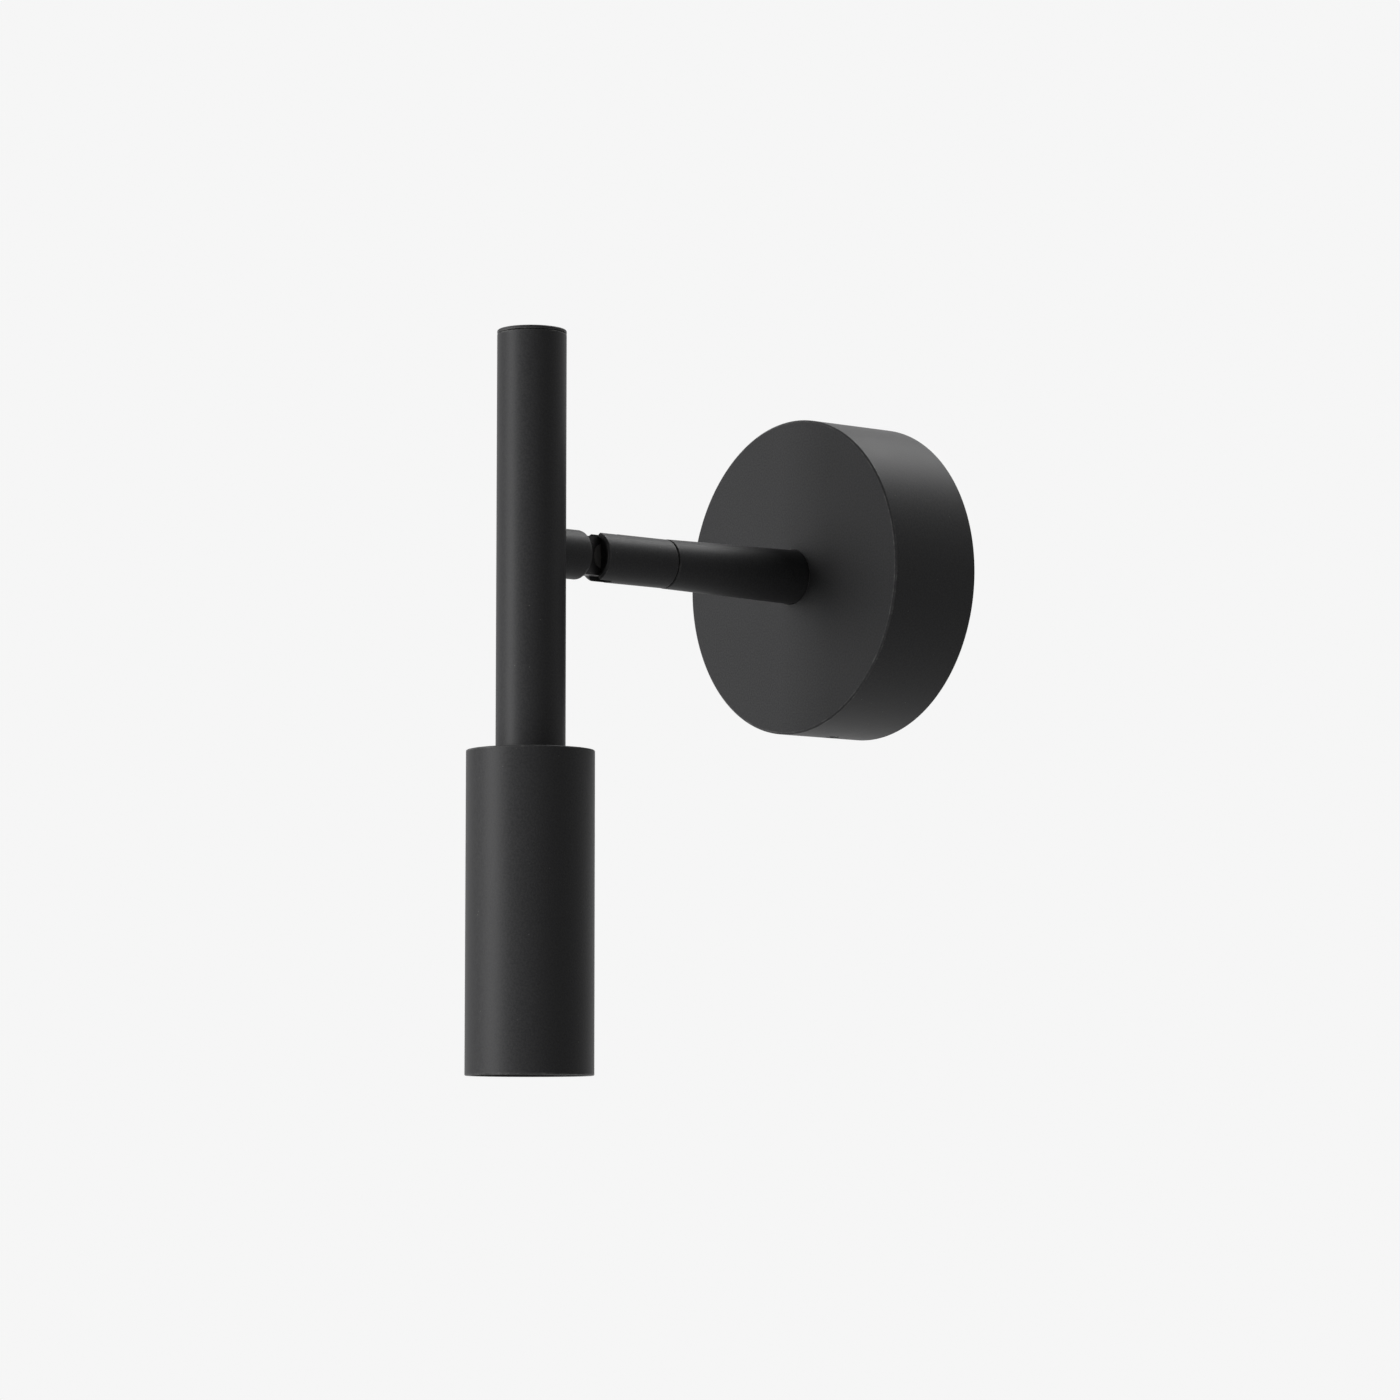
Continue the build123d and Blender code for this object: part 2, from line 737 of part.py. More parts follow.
arm_bore_radius = arm_bore_diameter / 2
arm_thread_end_out = arm_foot_out + arm_base_thread_length
arm_plug_out = arm_end_out - arm_end_plug_length
spindle_thread_radius = spindle_radius + thread_clearance
stop_circle_radius = stop_pin_circle_diameter / 2
stop_pin_radius = stop_pin_diameter / 2

with BuildPart() as arm_tube:
    revolve(
        arm_profile(
            (nipple_radius + thread_clearance, arm_foot_out),
            (arm_base_radius, arm_foot_out),
            (arm_base_radius, canopy_depth),
            (arm_end_radius, arm_end_out - seam_chamfer),
            (arm_end_radius - seam_chamfer, arm_end_out),
            (spindle_thread_radius, arm_end_out),
            (spindle_thread_radius, arm_plug_out),
            (arm_bore_radius, arm_plug_out),
            (arm_bore_radius, arm_thread_end_out),
            (nipple_radius + thread_clearance, arm_thread_end_out),
        ),
        axis=arm_axis,
    )
    with BuildSketch(facing_room(arm_end_out)):
        with Locations((0, stop_circle_radius)):
            Circle(stop_pin_radius + fixed_clearance)
    extrude(amount=-stop_pin_seat_depth, mode=Mode.SUBTRACT)
finish(arm_tube, "arm_tube")

with BuildPart() as stop_pin:
    with BuildSketch(facing_room(arm_end_out - stop_pin_seat_depth, height=stop_circle_radius)):
        Circle(stop_pin_radius)
    extrude(amount=stop_pin_seat_depth + swivel_gap + stop_pin_reach)
finish(stop_pin, "stop_pin")

with BuildPart() as swivel_disc:
    revolve(
        arm_ring(
            spindle_radius + slide_clearance,
            swivel_disc_diameter / 2,
            arm_end_out,
            arm_end_out + swivel_disc_thickness,
        ),
        axis=arm_axis,
    )
finish(swivel_disc, "swivel_disc")

spindle_bore_radius = spindle_bore_diameter / 2
spindle_head_radius = spindle_head_diameter / 2
spindle_back_out = arm_end_out - spindle_thread_length

with BuildPart() as swivel_spindle:
    revolve(
        arm_profile(
            (spindle_bore_radius, spindle_back_out),
            (spindle_radius, spindle_back_out),
            (spindle_radius, spindle_head_out),
            (spindle_head_radius, spindle_head_out),
            (spindle_head_radius, spindle_tip_out),
            (spindle_bore_radius, spindle_tip_out),
        ),
        axis=arm_axis,
    )
    with BuildSketch(facing_room(spindle_tip_out)):
        Rectangle(2 * spindle_head_diameter, spindle_driver_slot_width)
    extrude(amount=-spindle_driver_slot_depth, mode=Mode.SUBTRACT)
finish(swivel_spindle, "swivel_spindle")

spring_outer_radius = min(spindle_head_radius, barrel_inner_radius - free_clearance)
spring_inner_radius = spindle_radius + slide_clearance

with BuildPart() as disc_spring:
    revolve(
        arm_profile(
            (spring_outer_radius, floor_front_out + running_clearance),
            (spring_outer_radius, floor_front_out + running_clearance + disc_spring_thickness),
            (spring_inner_radius, spindle_head_out),
            (spring_inner_radius, spindle_head_out - disc_spring_thickness),
        ),
        axis=arm_axis,
    )
finish(disc_spring, "disc_spring")

# ---- Barrel and its fork -------------------------------------------------------------------------

groove_half_width = stop_pin_radius + slide_clearance
pin_half_angle = math.degrees(math.asin(groove_half_width / stop_circle_radius))
land_half_angle = 180 - swivel_limit - pin_half_angle
bearing_radius = spindle_radius + running_clearance
set_screw_out = barrel_mouth_out - set_screw_from_mouth
set_screw_radius = set_screw_diameter / 2
set_screw_top = barrel_radius - set_screw_sunk
set_screw_tip = fork_radius - set_screw_bite


def slot_back(tilt_limit):
    """How far behind the pivot the slot is open, so that the tongue's flank clears it at a tilt limit."""
    swing = math.radians(tilt_limit)
    return tongue_half_height * math.sin(swing) - flank_in_round * math.cos(swing) + free_clearance


def tongue_slot():
    """Side outline of the slot: round about the pivot, longer above the axis than below it."""
    slot_front = barrel_mouth_out - pivot_out + free_clearance
    slot_back_above = slot_back(tilt_up_limit)
    slot_back_below = slot_back(tilt_down_limit)
    with BuildSketch(side_view) as outline:
        with Locations((-pivot_out, 0)):
            Circle(slot_round_radius)
            with Locations((0, 0)):
                Polygon(
                    (slot_back_above, 0),
                    (slot_back_above, barrel_diameter),
                    (-slot_front, barrel_diameter),
                    (-slot_front, -barrel_diameter),
                    (slot_back_below, -barrel_diameter),
                    (slot_back_below, 0),
                    align=None,
                )
    return outline.sketch


with BuildPart() as barrel_sleeve:
    revolve(
        arm_profile(
            (bearing_radius, barrel_back_out),
            (barrel_radius - seam_chamfer, barrel_back_out),
            (barrel_radius, barrel_back_out + seam_chamfer),
            (barrel_radius, barrel_mouth_out - barrel_mouth_chamfer),
            (barrel_radius - barrel_mouth_chamfer, barrel_mouth_out),
            (barrel_inner_radius, barrel_mouth_out),
            (barrel_inner_radius, floor_front_out),
            (bearing_radius, floor_front_out),
        ),
        axis=arm_axis,
    )
    with BuildSketch(facing_room(barrel_back_out)):
        Circle(stop_circle_radius + groove_half_width)
        Circle(stop_circle_radius - groove_half_width, mode=Mode.SUBTRACT)
        with BuildLine():
            land_edge = barrel_diameter * math.tan(math.radians(land_half_angle))
            Polyline((0, 0), (land_edge, -barrel_diameter), (-land_edge, -barrel_diameter), close=True)
        make_face(mode=Mode.SUBTRACT)
    extrude(amount=stop_groove_depth, mode=Mode.SUBTRACT)
    extrude(tongue_slot(), amount=slot_width / 2, both=True, mode=Mode.SUBTRACT)
    with BuildSketch(Plane.XY):
        with Locations((0, -set_screw_out)):
            Circle(set_screw_radius + thread_clearance)
    extrude(amount=barrel_diameter, mode=Mode.SUBTRACT)
finish(barrel_sleeve, "barrel_sleeve")

slot_root_out = pivot_out - slot_round_radius

with BuildPart() as knuckle_fork:
    revolve(arm_ring(0, fork_radius, fork_back_out, fork_front_out), axis=arm_axis)
    revolve(
        arm_ring(0, fork_chamber_diameter / 2, fork_back_out, slot_root_out + free_clearance),
        axis=arm_axis,
        mode=Mode.SUBTRACT,
    )
    extrude(tongue_slot(), amount=slot_width / 2, both=True, mode=Mode.SUBTRACT)
    with BuildSketch(side_view):
        with Locations((-pivot_out, 0)):
            Circle(pin_radius + fixed_clearance)
    extrude(amount=barrel_diameter, both=True, mode=Mode.SUBTRACT)
    with BuildSketch(Plane.XY.offset(set_screw_tip - fixed_clearance)):
        with Locations((0, -set_screw_out)):
            Circle(set_screw_radius + fixed_clearance)
    extrude(amount=barrel_diameter, mode=Mode.SUBTRACT)
finish(knuckle_fork, "knuckle_fork")

with BuildPart() as barrel_set_screw:
    with BuildSketch(Plane.XY.offset(set_screw_tip)):
        with Locations((0, -set_screw_out)):
            Circle(set_screw_radius)
    extrude(amount=set_screw_top - set_screw_tip)
    with BuildSketch(Plane.XY.offset(set_screw_top)):
        with Locations((0, -set_screw_out)):
            RegularPolygon(set_screw_socket / 2, 6, major_radius=False)
    extrude(amount=-set_screw_socket_depth, mode=Mode.SUBTRACT)
finish(barrel_set_screw, "barrel_set_screw")

pin_half_length = math.sqrt(fork_radius**2 - pin_radius**2) - fixed_clearance

with BuildPart() as pivot_pin:
    with BuildSketch(side_view):
        with Locations((-pivot_out, 0)):
            Circle(pin_radius)
    extrude(amount=pin_half_length, both=True)
finish(pivot_pin, "pivot_pin")

with BuildPart() as friction_discs:
    for side in (1, -1):
        with BuildSketch(side_view.offset(side * slot_width / 2)):
            with Locations((-pivot_out, 0)):
                Circle(friction_disc_diameter / 2)
                Circle(pin_radius + fixed_clearance, mode=Mode.SUBTRACT)
        extrude(amount=-side * friction_disc_thickness)
finish(friction_discs, "friction_discs")

# ---- Lead from the driver to the barrel ----------------------------------------------------------

lead_end_out = spindle_tip_out + lead_past_spindle

with BuildPart() as arm_lead:
    with BuildLine() as lead_route:
        FilletPolyline(
            (0, -lead_end_out, 0),
            (0, -lead_turn_out, 0),
            (0, -lead_turn_out, driver_top),
            radius=lead_bend,
        )
    with BuildSketch(start_of(lead_route)):
        Circle(lead_radius)
    sweep()
finish(arm_lead, "arm_lead")

# ---- Tongue, stub and what clamps them -----------------------------------------------------------

tongue_base_out = stub_end_out + tongue_key_depth
washer_chord_out = tube_out - math.sqrt(tube_inner_radius**2 - (shank_washer_diameter / 2) ** 2)
saddle_flat_out = washer_chord_out + shank_washer_edge
shank_nut_front_out = saddle_flat_out + shank_nut_height
shank_end_out = shank_nut_front_out + shank_end_stand
shank_bore_radius = shank_bore_diameter / 2
shank_hole_radius = shank_radius + slide_clearance

with BuildPart() as knuckle_tongue:
    with BuildSketch(side_view):
        with Locations((-pivot_out, 0)):
            Circle(tongue_half_height)
        with Locations((-(pivot_out + tongue_base_out) / 2, 0)):
            Rectangle(tongue_base_out - pivot_out, 2 * tongue_half_height)
    extrude(amount=tongue_thickness / 2, both=True)
    with BuildSketch(facing_room(tongue_base_out)):
        Circle(shank_radius)
    extrude(amount=shank_end_out - tongue_base_out)
    with BuildSketch(facing_room(tongue_base_out)):
        Circle(shank_bore_radius)
    extrude(amount=shank_end_out - tongue_base_out, mode=Mode.SUBTRACT)
    with BuildSketch(facing_room(tongue_base_out)):
        Rectangle(wire_slot_width, shank_bore_diameter)
    extrude(amount=-(tongue_base_out - pivot_out + barrel_diameter), mode=Mode.SUBTRACT)
    with BuildSketch(side_view):
        with Locations((-pivot_out, 0)):
            Circle(pin_radius + running_clearance)
    extrude(amount=tongue_thickness, both=True, mode=Mode.SUBTRACT)
finish(knuckle_tongue, "knuckle_tongue")

with BuildPart() as stub_collar:
    revolve(arm_ring(0, stub_radius, stub_end_out, tube_out), axis=arm_axis)
    fillet(stub_collar.edges().sort_by(Axis.Y)[-1], stub_edge_radius)
    with BuildSketch(level(-barrel_diameter)):
        Circle(tube_radius + fixed_clearance)
    extrude(amount=2 * barrel_diameter, mode=Mode.SUBTRACT)
    with BuildSketch(facing_room(stub_end_out)):
        Circle(shank_hole_radius)
    extrude(amount=tube_out - stub_end_out, mode=Mode.SUBTRACT)
    with BuildSketch(facing_room(stub_end_out)):
        Rectangle(tongue_thickness + 2 * fixed_clearance, 2 * tongue_half_height + 2 * fixed_clearance)
    extrude(amount=tongue_key_depth, mode=Mode.SUBTRACT)
finish(stub_collar, "stub_collar")

with BuildPart() as saddle_washer:
    with BuildSketch(facing_room(saddle_flat_out)):
        Circle(shank_washer_diameter / 2)
        Circle(shank_hole_radius, mode=Mode.SUBTRACT)
    extrude(amount=-tube_radius)
    with BuildSketch(level(-tube_radius)):
        Circle(tube_inner_radius - fixed_clearance)
    extrude(amount=tube_diameter, mode=Mode.INTERSECT)
finish(saddle_washer, "saddle_washer")

with BuildPart() as shank_nut:
    with BuildSketch(facing_room(saddle_flat_out)):
        RegularPolygon(shank_nut_width / 2, 6, major_radius=False)
        Circle(shank_radius + thread_clearance, mode=Mode.SUBTRACT)
    extrude(amount=shank_nut_height)
finish(shank_nut, "shank_nut")

# ---- Slim tube, its cap and its foot -------------------------------------------------------------

cap_seat = tube_above_arm - cap_flange_thickness
cap_plug_radius = tube_inner_radius - fixed_clearance
foot_stud_radius = foot_stud_diameter / 2
foot_bore_radius = foot_stud_bore_diameter / 2
foot_stud_bottom = head_ceiling - foot_stud_thread_length

with BuildPart() as slim_tube:
    revolve(lamp_ring(tube_inner_radius, tube_radius, head_top, cap_seat), axis=lamp_axis)
    with BuildSketch(facing_room(tube_out - tube_diameter)):
        Circle(shank_hole_radius)
    extrude(amount=tube_diameter, mode=Mode.SUBTRACT)
finish(slim_tube, "slim_tube")

with BuildPart() as tube_cap:
    revolve(
        lamp_profile(
            (0, tube_above_arm),
            (tube_radius, tube_above_arm),
            (tube_radius, cap_seat),
            (cap_plug_radius, cap_seat),
            (cap_plug_radius, cap_seat - cap_plug_length),
            (cap_plug_radius - cap_plug_wall, cap_seat - cap_plug_length),
            (cap_plug_radius - cap_plug_wall, cap_seat),
            (0, cap_seat),
        ),
        axis=lamp_axis,
    )
    fillet(tube_cap.edges().filter_by(GeomType.CIRCLE).group_by(Axis.Z)[-1], cap_edge_radius)
finish(tube_cap, "tube_cap")

with BuildPart() as tube_foot:
    revolve(
        lamp_profile(
            (foot_bore_radius, head_top + foot_plug_length),
            (tube_inner_radius - fixed_clearance, head_top + foot_plug_length),
            (tube_inner_radius - fixed_clearance, head_top),
            (foot_stud_radius, head_top),
            (foot_stud_radius, foot_stud_bottom),
            (foot_bore_radius, foot_stud_bottom),
        ),
        axis=lamp_axis,
    )
finish(tube_foot, "tube_foot")

# ---- Spot head -----------------------------------------------------------------------------------

with BuildPart() as head_shell:
    revolve(
        lamp_profile(
            (foot_stud_radius + slide_clearance, head_top),
            (head_radius, head_top),
            (head_radius, head_bottom),
            (head_inner_radius, head_bottom),
            (head_inner_radius, head_ceiling),
            (foot_stud_radius + slide_clearance, head_ceiling),
        ),
        axis=lamp_axis,
    )
    outer_rims = head_shell.edges().filter_by(GeomType.CIRCLE).filter_by(
        lambda rim: abs(rim.radius - head_radius) < fixed_clearance
    )
    fillet(outer_rims, head_edge_radius)
finish(head_shell, "head_shell")

fin_zone_top = head_ceiling - foot_stud_thread_length / 2
fin_zone_bottom = heat_sink_bottom + heat_sink_base
fin_pitch = (fin_zone_top - fin_zone_bottom) / fin_count
fin_groove = fin_pitch * fin_groove_share
led_screw_radius = led_screw_diameter / 2
led_screw_places = ((led_screw_circle / 2, 0), (-led_screw_circle / 2, 0))
sink_thread_bottom = foot_stud_bottom - free_clearance
led_screw_depth = led_screw_length - (led_holder_height - led_screw_head_height)

with BuildPart() as heat_sink:
    revolve(lamp_ring(foot_bore_radius, heat_sink_radius, head_ceiling, heat_sink_bottom), axis=lamp_axis)
    revolve(
        lamp_ring(0, foot_stud_radius + thread_clearance, head_ceiling, sink_thread_bottom),
        axis=lamp_axis,
        mode=Mode.SUBTRACT,
    )
    for fin in range(fin_count):
        groove_top = fin_zone_top - fin * fin_pitch
        revolve(
            lamp_ring(heat_sink_core_diameter / 2, head_radius, groove_top, groove_top - fin_groove),
            axis=lamp_axis,
            mode=Mode.SUBTRACT,
        )
    with BuildSketch(level(heat_sink_bottom)):
        with Locations(*led_screw_places):
            Circle(led_screw_radius + thread_clearance)
    extrude(amount=led_screw_depth + free_clearance, mode=Mode.SUBTRACT)
finish(heat_sink, "heat_sink")

with BuildPart() as led_board:
    with BuildSketch(level(heat_sink_bottom)):
        Circle(led_board_diameter / 2)
    extrude(amount=-led_board_thickness)
finish(led_board, "led_board")

with BuildPart() as led_emitter:
    with BuildSketch(level(led_board_bottom)):
        Circle(led_emitter_diameter / 2)
    extrude(amount=-led_emitter_thickness)
finish(led_emitter, "led_emitter")

led_holder_radius = led_holder_diameter / 2
led_opening_radius = led_holder_opening / 2
led_pocket_radius = led_board_diameter / 2 + slide_clearance

with BuildPart() as led_holder:
    revolve(
        lamp_profile(
            (led_pocket_radius, heat_sink_bottom),
            (led_holder_radius, heat_sink_bottom),
            (led_holder_radius, led_holder_bottom),
            (led_opening_radius, led_holder_bottom),
            (led_opening_radius, led_board_bottom),
            (led_pocket_radius, led_board_bottom),
        ),
        axis=lamp_axis,
    )
    with BuildSketch(level(led_holder_bottom)):
        with Locations(*led_screw_places):
            Circle(led_screw_radius + slide_clearance)
    extrude(amount=led_holder_height, mode=Mode.SUBTRACT)
    with BuildSketch(level(led_holder_bottom)):
        with Locations(*led_screw_places):
            Circle(led_screw_head_diameter / 2 + slide_clearance)
    extrude(amount=led_screw_head_height, mode=Mode.SUBTRACT)
finish(led_holder, "led_holder")

with BuildPart() as led_holder_screws:
    with BuildSketch(level(led_holder_bottom)):
        with Locations(*led_screw_places):
            Circle(led_screw_head_diameter / 2)
    extrude(amount=led_screw_head_height)
    with BuildSketch(level(led_holder_bottom + led_screw_head_height)):
        with Locations(*led_screw_places):
            Circle(led_screw_radius)
    extrude(amount=led_screw_length)
finish(led_holder_screws, "led_holder_screws")

reflector_throat_radius = led_opening_radius
reflector_mouth_radius = reflector_mouth_diameter / 2
flange_top = reflector_bottom + reflector_flange
bowl_height = reflector_height - reflector_flange


def bowl_radius(fall):
    """Inner radius of the bowl at a share of its height, a parabola from throat to mouth."""
    square = reflector_throat_radius**2 + fall * (reflector_mouth_radius**2 - reflector_throat_radius**2)
    return math.sqrt(square)


bowl_rows = [(bowl_radius(fall), led_holder_bottom - fall * bowl_height) for fall in bowl_row_shares]

with BuildPart() as reflector:
    with BuildSketch(beside_lamp):
        with BuildLine():
            Spline(*bowl_rows)
            Spline(*[(radius + reflector_wall, height) for radius, height in bowl_rows])
            Line(bowl_rows[0], (bowl_rows[0][0] + reflector_wall, led_holder_bottom))
            Line((reflector_mouth_radius + reflector_wall, flange_top), bowl_rows[-1])
        make_face()
    revolve(axis=lamp_axis)
    revolve(
        lamp_ring(reflector_mouth_radius, lens_radius, flange_top, reflector_bottom),
        axis=lamp_axis,
    )
finish(reflector, "reflector")

with BuildPart() as front_lens:
    with BuildSketch(level(reflector_bottom)):
        Circle(lens_radius)
    extrude(amount=-lens_thickness)
finish(front_lens, "front_lens")

with BuildPart() as lens_gasket:
    revolve(
        lamp_ring(lens_radius - gasket_width, lens_radius, lens_bottom, gasket_bottom),
        axis=lamp_axis,
    )
finish(lens_gasket, "lens_gasket")

baffle_outer_radius = head_inner_radius - fixed_clearance
baffle_throat_radius = baffle_throat_diameter / 2
baffle_mouth_radius = baffle_outer_radius - baffle_mouth_wall
baffle_length = gasket_bottom - baffle_bottom
baffle_step = baffle_length / baffle_step_count
step_growth = (baffle_mouth_radius - baffle_throat_radius) / baffle_step_count
step_corners = []
for step in range(baffle_step_count):
    step_radius = baffle_throat_radius + (step + 1) * step_growth
    step_top = gasket_bottom - step * baffle_step
    step_corners.append((step_radius - step_growth, step_top))
    step_corners.append((step_radius, step_top - step_growth))
step_corners.append((baffle_mouth_radius, baffle_bottom))

with BuildPart() as glare_baffle:
    revolve(
        lamp_profile(
            *step_corners,
            (baffle_outer_radius, baffle_bottom),
            (baffle_outer_radius, gasket_bottom),
        ),
        axis=lamp_axis,
    )
finish(glare_baffle, "glare_baffle")

# ---- Wires from the knuckle to the light source --------------------------------------------------

lamp_wire_start_out = pivot_out - tongue_half_height + free_clearance
lower_wire_out = shank_end_out + free_clearance / 2 + lamp_wire_bend
upper_wire_out = lower_wire_out + lamp_wire_spacing

with BuildPart() as lamp_wire_upper:
    with BuildLine() as upper_route:
        FilletPolyline(
            (0, -lamp_wire_start_out, lamp_wire_height),
            (0, -upper_wire_out, lamp_wire_height),
            (0, -upper_wire_out, heat_sink_bottom),
            radius=lamp_wire_bend,
        )
    with BuildSketch(start_of(upper_route)):
        Circle(lamp_wire_radius)
    sweep()
finish(lamp_wire_upper, "lamp_wire_upper")

with BuildPart() as lamp_wire_lower:
    with BuildLine() as lower_route:
        FilletPolyline(
            (0, -lamp_wire_start_out, -lamp_wire_height),
            (0, -lower_wire_out, -lamp_wire_height),
            (0, -lower_wire_out, heat_sink_bottom),
            radius=lamp_wire_bend,
        )
    with BuildSketch(start_of(lower_route)):
        Circle(lamp_wire_radius)
    sweep()
finish(lamp_wire_lower, "lamp_wire_lower")

# ---- Writing -------------------------------------------------------------------------------------

os.makedirs("parts", exist_ok=True)
for piece in finished:
    export_step(piece, "parts/" + piece.label + ".step")
print("tube axis", round(tube_out, 3), "out; pivot", round(pivot_out, 3), "out;", len(finished), "pieces")
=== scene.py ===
import math

import bpy
import numpy as np
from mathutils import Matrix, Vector


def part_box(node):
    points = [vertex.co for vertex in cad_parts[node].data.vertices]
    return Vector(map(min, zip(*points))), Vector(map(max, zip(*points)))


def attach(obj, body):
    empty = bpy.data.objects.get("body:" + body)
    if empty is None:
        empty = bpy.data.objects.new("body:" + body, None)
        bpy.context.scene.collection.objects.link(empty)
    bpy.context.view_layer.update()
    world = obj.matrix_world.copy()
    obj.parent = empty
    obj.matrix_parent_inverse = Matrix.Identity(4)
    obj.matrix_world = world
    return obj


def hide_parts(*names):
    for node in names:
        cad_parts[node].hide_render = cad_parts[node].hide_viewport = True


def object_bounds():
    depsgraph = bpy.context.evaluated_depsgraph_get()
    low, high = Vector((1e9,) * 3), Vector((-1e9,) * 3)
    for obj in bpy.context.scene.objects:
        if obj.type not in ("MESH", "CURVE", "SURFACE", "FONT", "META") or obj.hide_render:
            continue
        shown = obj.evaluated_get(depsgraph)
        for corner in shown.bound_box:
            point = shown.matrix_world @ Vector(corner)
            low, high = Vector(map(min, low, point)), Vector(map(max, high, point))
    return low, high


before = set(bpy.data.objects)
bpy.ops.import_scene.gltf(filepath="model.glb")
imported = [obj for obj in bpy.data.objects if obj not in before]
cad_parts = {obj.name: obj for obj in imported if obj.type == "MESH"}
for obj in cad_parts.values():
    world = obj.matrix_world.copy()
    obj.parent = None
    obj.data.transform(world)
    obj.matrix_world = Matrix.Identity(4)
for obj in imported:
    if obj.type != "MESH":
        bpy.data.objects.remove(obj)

bpy.context.view_layer.update()
cad_low, cad_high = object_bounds()

# ---- Camera ----
# A long lens stands in the room on the lamp's right, a little below the arm, and looks up at it.
# The picture is a square, 36 mm of the lens's image across.

camera_azimuth = math.radians(50.7)
camera_elevation = math.radians(-5.69)
camera_distance = 1.5358
camera_aim = Vector((-0.0373, -0.0398, -0.0367))
camera_focal_length = 122.86

towards_camera = Vector((
    math.sin(camera_azimuth) * math.cos(camera_elevation),
    -math.cos(camera_azimuth) * math.cos(camera_elevation),
    math.sin(camera_elevation),
))
camera = bpy.data.objects.new("camera", bpy.data.cameras.new("camera"))
camera.data.lens = camera_focal_length
camera.data.sensor_width = 36.0
camera.data.clip_start = 0.05
camera.data.clip_end = 60.0
camera.location = camera_aim + camera_distance * towards_camera
camera.rotation_mode = "QUATERNION"
camera.rotation_quaternion = towards_camera.to_track_quat("Z", "Y")
bpy.context.scene.collection.objects.link(camera)
bpy.context.scene.camera = camera
bpy.context.scene.view_settings.view_transform = "Standard"

# ---- Studio ----
# Plain pale paper all round and a pale floor well below the lamp, which hangs on no wall here so
# that its back can be seen too. Soft boxes light it from the room on its left and from above and
# behind, and two weak ones fill in from below and from its right.

paper_white = (0.921, 0.921, 0.921, 1.0)
fill_grey = (0.01, 0.01, 0.01, 1.0)
floor_height = -1.2
floor_half_width = 14.0
floor_white = (0.985, 0.985, 0.985, 1.0)
floor_shadow_share = 0.065


class Link:
    """One output in a tree of shader nodes. Arithmetic with links and numbers adds Math nodes."""

    def __init__(self, tree, socket):
        self.tree = tree
        self.socket = socket

    def node(self, kind, settings=None, sockets=None, output=0):
        """Adds a node of a kind, sets its settings, then its sockets' values or links."""
        made = self.tree.nodes.new("ShaderNode" + kind)
        for name, value in (settings or {}).items():
            setattr(made, name, value)
        for name, value in (sockets or {}).items():
            if isinstance(value, Link):
                self.tree.links.new(value.socket, made.inputs[name])
            else:
                made.inputs[name].default_value = value
        return Link(self.tree, made.outputs[output])

    def math(self, operation, *others):
        """A Math node with this link and up to two more values."""
        return self.node("Math", {"operation": operation}, dict(enumerate((self, *others))))

    def __add__(self, other):
        return self.math("ADD", other)

    __radd__ = __add__

    def __sub__(self, other):
        return self.math("SUBTRACT", other)

    def __rsub__(self, other):
        return self.node("Math", {"operation": "SUBTRACT"}, {0: other, 1: self})

    def __mul__(self, other):
        return self.math("MULTIPLY", other)

    __rmul__ = __mul__

    def between(self, low, high):
        """Rises smoothly from 0 at low to 1 at high; with low above high it falls instead."""
        return self.node(
            "MapRange",
            {"interpolation_type": "SMOOTHSTEP"},
            {"Value": self, "From Min": low, "From Max": high},
        )

    def blend(self, first, second):
        """The first colour where this link is 0, the second where it is 1."""
        return self.node("Mix", {"data_type": "RGBA"}, {0: self, 6: first, 7: second}, output=2)

    def part(self, axis):
        """One coordinate of a vector: 0, 1 or 2."""
        return self.node("SeparateXYZ", {}, {0: self}, output=axis)


def seen_directly(start):
    """1 for rays that the camera, a gloss or a clear piece sends, 0 for the light of the room."""
    rays = start.node("LightPath", output="Is Camera Ray")
    glossy = start.node("LightPath", output="Is Glossy Ray")
    through = start.node("LightPath", output="Is Transmission Ray")
    return (rays + glossy + through).math("MINIMUM", 1.0)


world = bpy.data.worlds.new("studio")
world.use_nodes = True
bpy.context.scene.world = world
paper = world.node_tree.nodes["Background"]
paper.inputs["Strength"].default_value = 1.0
world_start = Link(world.node_tree, paper.outputs[0])
world_colour = seen_directly(world_start).blend(fill_grey, paper_white)
world.node_tree.links.new(world_colour.socket, paper.inputs["Color"])

floor_mesh = bpy.data.meshes.new("floor")
floor_corners = floor_half_width * np.array([(-1, -1, 0), (1, -1, 0), (1, 1, 0), (-1, 1, 0)], float)
floor_corners[:, 2] = floor_height
floor_mesh.from_pydata(floor_corners.tolist(), [], [(0, 1, 2, 3)])
floor = bpy.data.objects.new("floor", floor_mesh)
bpy.context.scene.collection.objects.link(floor)
floor_paint = bpy.data.materials.new("floor_paper")
floor_paint.use_nodes = True
floor_mesh.materials.append(floor_paint)
floor_tree = floor_paint.node_tree
floor_tree.nodes.clear()
floor_output = floor_tree.nodes.new("ShaderNodeOutputMaterial")
floor_start = Link(floor_tree, None)
flat_white = floor_start.node("Emission", {}, {"Color": floor_white, "Strength": 1.0})
matt_white = floor_start.node("BsdfDiffuse", {}, {"Color": paper_white})
floor_seen = seen_directly(floor_start) * (1 - floor_shadow_share)
floor_mix = floor_start.node("MixShader", {}, {0: floor_seen, 1: matt_white, 2: flat_white})
floor_tree.links.new(floor_mix.socket, floor_output.inputs["Surface"])


